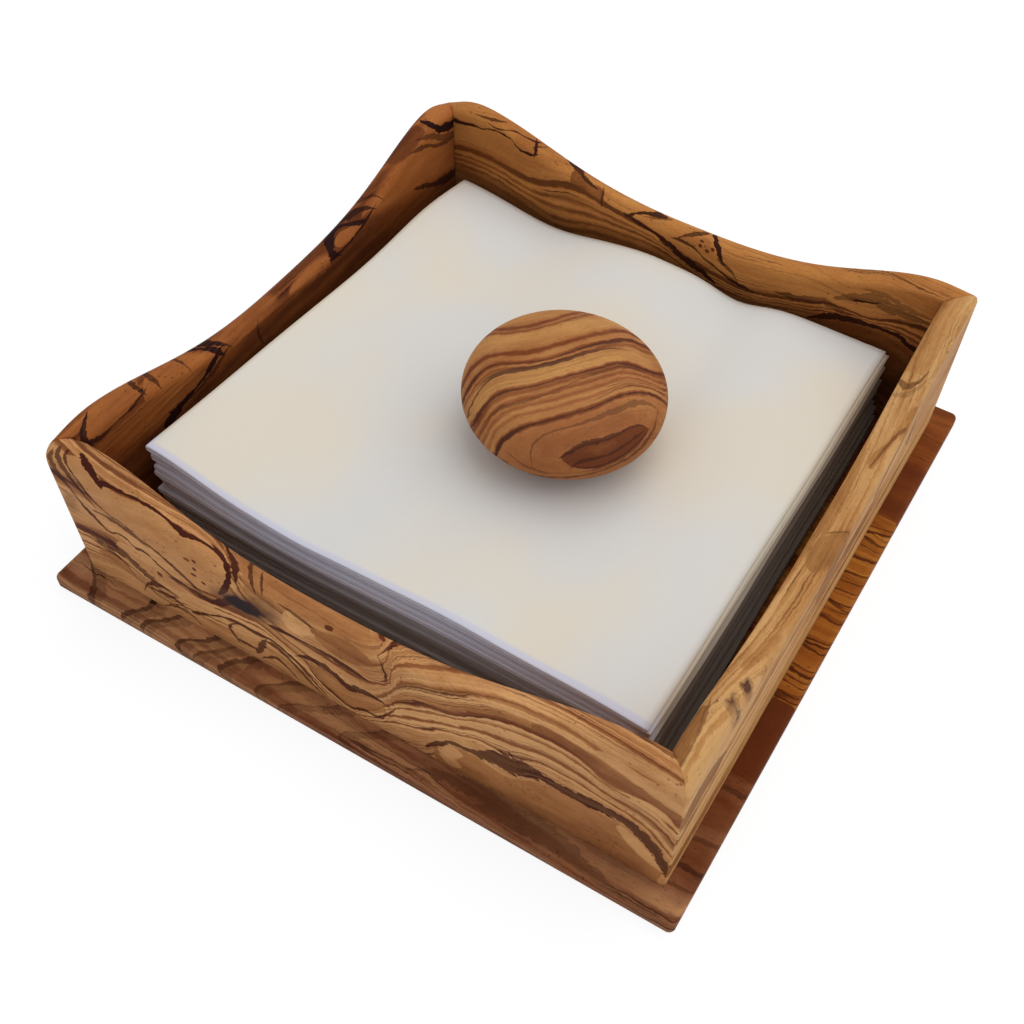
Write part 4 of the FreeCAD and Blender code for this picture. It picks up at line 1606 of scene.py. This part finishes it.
@dataclass(frozen=True)
class Pile:
    """The space that the napkins fill: a slanting stack with a softly creased top.

    The humps shape the front and back edges of the top, the puff its thick left side.  pressed is how far
    from the weight's middle the top lies flat under it, and clear how far it takes to be free again.
    """

    foot: float = 4.5
    side: float = 165.0
    centre: tuple[float, float] = (-1.0, 4.0)
    height: float = 35.28
    slope: tuple[float, float] = (-0.01527, -0.03273)
    front_line: float = -78.0
    front_edge: float = 41.2
    front_humps: tuple[Triple, ...] = ((9, -84, 24), (-1, -31, 12), (1.3, 17, 18), (-2.3, 88, 18))
    back_edge: tuple[float, float] = (38.2, 0.012)
    back_humps: tuple[Triple, ...] = ((-4.2, -45, 20), (-4.0, 27, 12), (0.6, -8, 10))
    puff: tuple[Triple, Triple] = ((2.6, -84, 14), (1.0, 62, 25))
    weight_place: tuple[float, float] = (8.7, -1.8)
    pressed: float = 12.0
    clear: float = 27.0
    fading: float = 1.6

    def plane(self, x: np.ndarray, y: np.ndarray) -> np.ndarray:
        """Height of the plane that the weight lies on."""
        rise = self.slope[0] * (x - self.centre[0]) + self.slope[1] * (y - self.centre[1])
        return self.foot + self.height + rise

    def top(self, x: np.ndarray, y: np.ndarray) -> np.ndarray:
        """Height of the pile's soft top, which is level under the weight and creased around it.

        Args:
            x: places along the front.
            y: places towards the back.

        Returns:
            The heights, in millimetres.
        """
        front = self.front_edge + bells(x, self.front_humps)
        back = self.back_edge[0] + self.back_edge[1] * x + bells(x, self.back_humps)
        share = np.clip((y - self.front_line) / self.side, 0, 1)
        soft = front * (1 - share) + back * share + bells(x, self.puff[:1]) * bells(y, self.puff[1:])
        away = np.hypot(x - self.weight_place[0], y - self.weight_place[1])
        pressed = np.clip((self.clear - away) / (self.clear - self.pressed), 0, 1)
        pressed = pressed * pressed * (3 - 2 * pressed)
        return soft + (self.plane(x, y) - soft) * pressed

    def level(self, x: np.ndarray, y: np.ndarray, share: Any) -> np.ndarray:
        """Height of a layer; the creases fade towards the bottom of the pile.

        Args:
            x: places along the front.
            y: places towards the back.
            share: nought at the foot and one at the top.

        Returns:
            The heights, in millimetres.
        """
        plane = self.plane(x, y)
        return self.foot + (plane - self.foot) * share + (self.top(x, y) - plane) * share**self.fading


@dataclass(frozen=True)
class Napkins:
    """Paper napkins, each one sheet folded in four, stacked with their folds to the left and the front.

    A napkin's height is divided into units: its four layers lie at one and three units above and below its
    middle, which leaves one and a half between two napkins.
    """

    count: int = 18
    flat: float = 330.0
    paper: float = 0.37
    pile: Pile = Pile()
    steps: int = 22
    top_steps: int = 64
    fold_steps: int = 9
    fold_stretch: float = 1.6
    units: float = 7.5
    spread: float = 1.3
    wobble: float = 0.35
    ripple: float = 0.2
    seed: int = 5

    def fold_path(self, steps: int) -> tuple[np.ndarray, np.ndarray]:
        """Follows one fold from one free edge to the other.

        Args:
            steps: how many steps each flat part gets.

        Returns:
            How far each point is along its leaf, from nought at the fold to one at the free edge, and the
            angle it has turned through the fold.
        """
        leaf = np.linspace(0, 1, steps + 1)
        turn = np.linspace(0, math.pi, self.fold_steps + 1)[1:-1]
        reach = np.concatenate([leaf[::-1], np.zeros(len(turn)), leaf])
        angle = np.concatenate([np.zeros(steps + 1), turn, np.full(steps + 1, math.pi)])
        return reach, angle

    def sheet_points(self, number: int, low: Vector, high: Vector) -> np.ndarray:
        """Places the points of one folded sheet.

        Args:
            number: the napkin's place in the pile, from one at the bottom.
            low: the lowest corner of its node, in metres.
            high: the highest corner.

        Returns:
            Rows of rows of points, in metres.
        """
        dice = np.random.default_rng(self.seed * 100 + number)
        reach, angle = self.fold_path(self.top_steps if number == self.count else self.steps)
        side = self.pile.side
        unit = self.pile.height / self.count / self.units
        nose = 3 * unit * self.fold_stretch
        turned = angle / math.pi
        ends = dice.uniform(0, self.spread, 4)
        x_end = side - nose - (ends[0] * (1 - turned) + ends[1] * turned)
        y_end = side - unit * self.fold_stretch - (ends[2] * (1 - turned) + ends[3] * turned)
        offset = (2 + np.cos(angle))[None, :]
        round_fold = np.sin(angle)[:, None] * offset * unit * self.fold_stretch
        x = nose - side / 2 + (reach * x_end)[:, None] - round_fold
        y_fold = unit * self.fold_stretch * (1 - np.sin(angle))
        y = (y_fold - side / 2 + reach * y_end)[None, :] + 0 * x
        middle = (low + high) / 2 / MILLIMETRE
        lean = dice.uniform(-1, 1, 6)
        x = x + middle.x + self.wobble * lean[0] * np.sin(y / 37 + 3 * lean[1])
        x = x + self.ripple * lean[2] * np.sin(y / 13 + 5 * lean[3])
        y = y + middle.y + self.wobble * lean[4] * np.sin(x / 41 + 3 * lean[5])
        crossing_fold = -np.cos(angle)[:, None] * offset
        z = self.pile.level(x, y, (number - 0.5 + crossing_fold / self.units) / self.count)
        return np.stack([x, y, z], axis=2) * MILLIMETRE

    def sheet_mesh(self, name: str, points: np.ndarray) -> bpy.types.Mesh:
        """Makes a sheet without thickness.

        Args:
            name: the mesh's name.
            points: rows of rows of points, in metres.

        Returns:
            The mesh.
        """
        corner = np.arange(points[..., 0].size).reshape(points.shape[:2])
        faces = np.stack([corner[:-1, :-1], corner[:-1, 1:], corner[1:, 1:], corner[1:, :-1]], axis=2)
        mesh = bpy.data.meshes.new(name)
        mesh.from_pydata(points.reshape(-1, 3).tolist(), [], faces.reshape(-1, 4).tolist())
        mesh.shade_smooth()
        return mesh

    def build(self, finish: bpy.types.Material) -> list[bpy.types.Object]:
        """Stacks the napkins, each on the one below it.

        Args:
            finish: the paper.

        Returns:
            The napkins, bottom to top.
        """
        sheets: list[bpy.types.Object] = []
        for number in range(1, self.count + 1):
            node = f"napkin_{number:02d}"
            name = f"{node}_sheet"
            sheet = new_object(name, self.sheet_mesh(name, self.sheet_points(number, *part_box(node))))
            sheet.data.materials.append(finish)
            solidify = sheet.modifiers.new("paper", "SOLIDIFY")
            solidify.thickness = self.paper * MILLIMETRE
            solidify.offset = 0
            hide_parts(node)
            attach(sheet, "top_napkin" if number == self.count else "napkin_stack")
            sheets.append(sheet)
        return sheets


# -------------------------------------------------------------------------------------------------- weight


PEBBLE_FLOW = Flow(
    (10, 20, 27),
    (
        ((-22, 0), (-12, 7), (-6, 13), (-4, 15), (0, 16.5), (4, 17.2), (8, 16.8), (18, 15.8), (23, 15.2),
         (33, 15.4), (36, 15), (40, 13.5), (43, 11), (46, 7), (58, -2)),
        ((-22, 16), (-9, 23), (-6, 25), (-2, 27.5), (2, 28.2), (6, 27.6), (12, 26.4), (24, 25.6),
         (30, 24.8), (36, 24), (40, 21.5), (43, 19), (46, 17), (58, 12)),
        ((-22, 20), (-11, 29), (-8, 32), (-4, 35), (0, 36.4), (4, 36.2), (8, 34.8), (13, 33.3), (18, 32.4),
         (30, 31.8), (36, 31), (41, 29.5), (45, 26), (58, 18)),
    ),
)

PEBBLE_ORDER = (
    (-1, 0.4), (6, 0.45), (9, 0.5), (9.6, 0.95), (10.4, 0.95), (11, 0.4), (12, 0.3), (13, 0.6), (14, 0.2),
    (15, 0.7), (16, 0.3), (17, 0.8), (18, 0.45), (19, 0.9), (19.6, 0.7), (20.2, 1), (20.8, 0.5),
    (21.8, 0.15), (25, 0.1), (25.6, 0.8), (26.2, 0.3), (26.8, 0.95), (27.4, 0.95), (28, 0.4), (29, 0.3),
    (29.8, 0.95), (30.5, 0.8), (31.2, 0.2), (34, 0.05), (36, 0.1), (36.6, 0.85), (37.2, 0.4), (37.9, 0.95),
    (38.6, 0.3), (43, 0.2), (71, 0.2),
)

PEBBLE_LINES = (
    Vein(
        ((-7, 11), (-4, 14.8), (0, 16.5), (4, 17.2), (8, 16.8), (18, 15.8), (23, 15.2), (33, 15.4),
         (36, 15), (40, 13.5), (43, 11), (45, 7)),
        (0.7, 0.4), 0.8, between=((-2, 0.8), (8, 0.35), (28, 0.35), (38, 0.4)),
    ),
    Vein(
        ((2.5, 6), (4, 10.5), (6, 12.2), (10, 13.2), (18, 12.5), (28, 12.1), (36, 12), (39, 11), (41, 9),
         (42, 5)),
        (0.7, 0.4), 0.5, between=((3, 0.7), (9, 0.4)),
    ),
    Vein(
        ((-9, 23), (-6, 25), (-2, 27.5), (2, 28.2), (6, 27.6), (12, 26.4), (24, 25.6), (30, 24.8), (36, 24),
         (40, 21.5), (43, 19), (47, 16.5)),
        (0.6, 0.4), 0.7, between=((0, 0.55), (12, 0.3), (34, 0.3)),
    ),
    Vein(
        ((-6, 22), (0, 24.3), (4, 24), (10, 23.2), (18, 23.5), (26, 23.8), (32, 23.4), (37, 22.5),
         (42, 19)),
        (0.3, 0.3), 0.45, between=((18, 0.3),),
    ),
    Vein(
        ((-11, 29), (-8, 32), (-4, 35), (0, 36.4), (4, 36.2), (8, 34.8), (13, 33.3), (18, 32.4), (30, 31.8),
         (36, 31), (41, 29.5), (46, 25)),
        (0.4, 0.3), 0.7, between=((4, 0.3), (18, 0.3), (28, 0.35)),
    ),
    Vein(
        ((-4.5, 10), (0, 4.5), (8, 0.2), (14, -1.6), (23, -2.3), (31, -1), (38, 3), (41, 7)),
        (0.6, 0.35), 0.65, between=((-4, 0.6), (8, 0.4), (23, 0.35)),
    ),
    Vein(
        ((-2, 11), (3, 4.5), (10, 1), (16, -0.8), (23, -1.4), (30, -0.2), (36, 3)),
        (0.4, 0.3), 0.45, between=((10, 0.25),),
    ),
    Vein(
        ((11, 5.7), (14, 6.3), (18, 6.8), (26, 5.8), (35, 5.8), (36.5, 4.2)),
        (0.4, 0.4), 0.8, between=((36, 0.4),),
    ),
    Vein(
        ((13, 2), (16, 2.4), (20, 1.8), (24, 1.4), (29, 2.2), (35, 3.8)),
        (0.35, 0.3), 0.75, between=((24, 0.5),),
    ),
    Vein(
        ((14, 1.5), (18, -0.4), (23, -0.9), (28, -0.2), (33, 1.6), (36.5, 3.6)),
        (0.3, 0.3), 0.75, between=((23, 0.4), (36, 0.3)),
    ),
)

PEBBLE_PATCHES = (
    Patch(
        ((-4, 12), (0, 14.5), (10, 15), (28, 13.6), (39, 12.4), (43, 9)),
        ((-4, 10), (2, 3), (18, -4), (32, -2), (43, 8)),
        0.5, 0.7, 1,
    ),
    Patch(((7, 10), (18, 10.5), (34, 10)), ((7, 8), (18, 7), (34, 6.5)), 0.75, 0.4, 1.5),
    Patch(
        ((11, 5.7), (14, 6.3), (18, 6.8), (26, 5.8), (35, 5.8), (36.5, 4.2)),
        ((11, 5.2), (13, 2), (18, -0.5), (23, -1.3), (33, 1.2), (36.5, 3.6)),
        1.15, 0.85, 0.4,
    ),
    Patch(((17, 5), (23, 5.2), (27, 4.5)), ((17, 4.4), (22, 3), (27, 3.6)), 0.8, 0.6, 1),
)


@dataclass(frozen=True)
class Pebble:
    """The weight: a pebble of olive wood with a small flat underneath, lying on the pile."""

    radius: float = 30.4
    half_height: float = 16.1
    flat: float = 9.0
    flat_edge: float = 0.5
    fullness: float = 0.94
    subdivisions: int = 7
    pile: Pile = Pile()
    wood: OliveWood = OliveWood(
        "wood_pebble", Grain.PEBBLE, 60.0, "c38d52", "a6693e", "744026", "4c2c22",
        face=48.2, lean=0.148, slant=0.05, origin=(0.2, 0.1), wander=0.5, wander_length=40.0, ripple=0.5,
        ripple_length=12.0, jag=0.5, veins=0.1, hairs=0.2, redness=0.35, specks=0.2,
        flow=PEBBLE_FLOW, order=PEBBLE_ORDER, lines=PEBBLE_LINES, patches=PEBBLE_PATCHES,
    )

    def underside(self) -> float:
        """Height of the flat underneath, from the pebble's middle."""
        return -self.half_height * math.sqrt(1 - (self.flat / self.radius) ** 2)

    def place(self) -> Matrix:
        """Where the pebble's middle is and how it leans, in millimetres."""
        normal = Vector((-self.pile.slope[0], -self.pile.slope[1], 1)).normalized()
        lean = Vector((0, 0, 1)).rotation_difference(normal).to_matrix().to_4x4()
        across = [self.pile.weight_place[axis] - self.pile.centre[axis] for axis in (0, 1)]
        rest = Vector((*across, -self.underside()))
        foot = Vector((*self.pile.centre, self.pile.foot + self.pile.height))
        return Matrix.Translation(foot) @ lean @ Matrix.Translation(rest)

    def tree(self) -> bpy.types.NodeTree:
        """Builds the tree that swells a ball into the pebble."""
        graph, given = new_form("pebble", ("Radius", "Half height", "Fullness", "Underside"))
        ball = graph.node("GeometryNodeMeshIcoSphere")
        graph.fill(ball, {"Radius": 1.0, "Subdivisions": self.subdivisions})
        x, y, z = graph.parts(graph.position())
        flat_radius = graph.sum_of("SQRT", x * x + y * y)
        wider = flat_radius ** given["Fullness"] / graph.sum_of("MAXIMUM", flat_radius, 1e-6)
        height = graph.sum_of("SIGN", z) * graph.sum_of("ABSOLUTE", z) ** given["Fullness"]
        height = height * given["Half height"]
        height = graph.sum_of("SMOOTH_MAX", height, given["Underside"], self.flat_edge)
        round_point = graph.vector(x * wider * given["Radius"], y * wider * given["Radius"], height)
        rows = [graph.sum_of("DOT_PRODUCT", round_point, tuple(row[:3])) + row[3] for row in self.place()[:3]]
        end_form(graph, ball.outputs["Mesh"], graph.vector(*rows) * MILLIMETRE)
        return graph.tree

    def build(self) -> bpy.types.Object:
        """Makes the pebble in place of its node."""
        sizes = {"Radius": self.radius, "Half height": self.half_height, "Fullness": self.fullness}
        sizes["Underside"] = self.underside()
        pebble = grow_form("weight_pebble_shaped", self.tree(), sizes, self.wood.material())
        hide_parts("weight_pebble")
        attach(pebble, "weight")
        return pebble


# -------------------------------------------------------------------------------------------------- studio


@dataclass(frozen=True)
class Studio:
    """Camera, pale floor and soft light."""

    eye: Triple = (130.793, -230.035, 318.871)
    right: Triple = (0.86302, 0.50319, 0.04467)
    up: Triple = (-0.43224, 0.68976, 0.58086)
    back: Triple = (0.26147, -0.52060, 0.81278)
    focal_length: float = 43.75
    shift: tuple[float, float] = (-0.0578, 0.0740)
    floor_size: float = 6.0
    floor_shade: float = 0.24
    floor_glow: float = 0.82
    sky_seen: float = 1.0
    sky_light: float = 0.64
    sky_colour: Colour = (0.955, 0.97, 1.035, 1)
    lamp_place: Triple = (0.35, 0.45, 1.3)
    lamp_size: tuple[float, float] = (1.9, 1.5)
    lamp_energy: float = 10.3
    lamp_colour: Triple = (1.0, 0.975, 0.93)

    def place_at(self, thing: bpy.types.Object, place: Vector, turn: Matrix) -> None:
        """Puts a camera or lamp into the scene, at a place in metres."""
        thing.matrix_world = Matrix.Translation(place) @ turn.to_4x4()
        bpy.context.scene.collection.objects.link(thing)

    def camera(self) -> None:
        """Sets the camera up."""
        data = bpy.data.cameras.new("camera")
        data.sensor_width = 36
        data.lens = self.focal_length
        data.shift_x, data.shift_y = self.shift
        data.clip_start = 0.01
        camera = bpy.data.objects.new("camera", data)
        turn = Matrix((self.right, self.up, self.back)).transposed()
        self.place_at(camera, Vector(self.eye) * MILLIMETRE, turn)
        bpy.context.scene.camera = camera

    def seen_by(self, graph: Graph, rays: Sequence[str]) -> Value:
        """One for rays of the named kinds, nought for others.

        Args:
            graph: where the nodes go.
            rays: names of the kinds, such as "Camera".

        Returns:
            One or nought.
        """
        path = graph.node("ShaderNodeLightPath")
        first, *others = (Value(graph, path.outputs[f"Is {ray} Ray"]) for ray in rays)
        for other in others:
            first = graph.sum_of("MAXIMUM", first, other)
        return first

    def floor_finish(self) -> bpy.types.Material:
        """A pale floor that looks white and takes the tray's soft shadow."""
        material, graph, shader = new_material("floor_white")
        grain = graph.noise(graph.object_point() / 40, 2.0)
        pale = graph.blend(grain, paint("f2f2f2"), paint("f6f6f6"))
        graph.fill(shader, {"Base Color": pale, "Roughness": 0.9, "Specular IOR Level": 0.1})
        weak = graph.node("ShaderNodeBsdfDiffuse")
        weak.inputs["Color"].default_value = (*[self.floor_shade] * 3, 1)
        glow = graph.node("ShaderNodeEmission")
        glow.inputs["Strength"].default_value = self.floor_glow
        both = graph.node("ShaderNodeAddShader")
        choice = graph.node("ShaderNodeMixShader")
        graph.feed(choice.inputs[0], self.seen_by(graph, ("Camera", "Glossy", "Transmission")))
        links = graph.tree.links
        links.new(weak.outputs[0], both.inputs[0])
        links.new(glow.outputs[0], both.inputs[1])
        links.new(shader.outputs[0], choice.inputs[1])
        links.new(both.outputs[0], choice.inputs[2])
        output = next(node for node in graph.tree.nodes if node.type == "OUTPUT_MATERIAL")
        links.new(choice.outputs[0], output.inputs["Surface"])
        return material

    def floor(self) -> None:
        """Lays the floor."""
        half = self.floor_size / 2
        signs = ((-1, -1), (1, -1), (1, 1), (-1, 1))
        mesh = bpy.data.meshes.new("floor")
        mesh.from_pydata([(x * half, y * half, 0) for x, y in signs], [], [(0, 1, 2, 3)])
        mesh.materials.append(self.floor_finish())
        new_object("floor", mesh)

    def light(self) -> None:
        """Sets the soft daylight: an even sky and one wide lamp above, a little behind and to the right."""
        bpy.context.scene.view_settings.view_transform = "Standard"
        world = bpy.data.worlds.new("daylight")
        world.use_nodes = True
        bpy.context.scene.world = world
        graph = Graph(world.node_tree)
        directly = self.seen_by(graph, ("Camera", "Transmission"))
        strength = directly * (self.sky_seen - self.sky_light) + self.sky_light
        colour = graph.blend(directly, self.sky_colour, (1, 1, 1, 1))
        graph.fill(world.node_tree.nodes["Background"], {"Strength": strength, "Color": colour})
        lamp = bpy.data.lights.new("softbox", "AREA")
        lamp.shape = "RECTANGLE"
        lamp.size, lamp.size_y = self.lamp_size
        lamp.energy = self.lamp_energy
        lamp.color = self.lamp_colour
        place = Vector(self.lamp_place)
        turn = place.to_track_quat("Z", "Y").to_matrix()
        self.place_at(bpy.data.objects.new("softbox", lamp), place, turn)


def main() -> None:
    """Builds the tray in order and reports each piece."""
    logging.basicConfig(level=logging.INFO, format="%(name)s: %(message)s")
    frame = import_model()
    studio = Studio()
    studio.camera()
    pieces = Base().dress(frame["nodes"])
    pieces += Walls().build()
    pieces += Napkins().build(NapkinPaper().material())
    pieces.append(Pebble().build())
    for piece in pieces:
        log.info("%s: %d vertices", piece.name, len(piece.data.vertices))
    studio.floor()
    studio.light()
    bpy.context.view_layer.update()


if __name__ == "__main__":
    main()
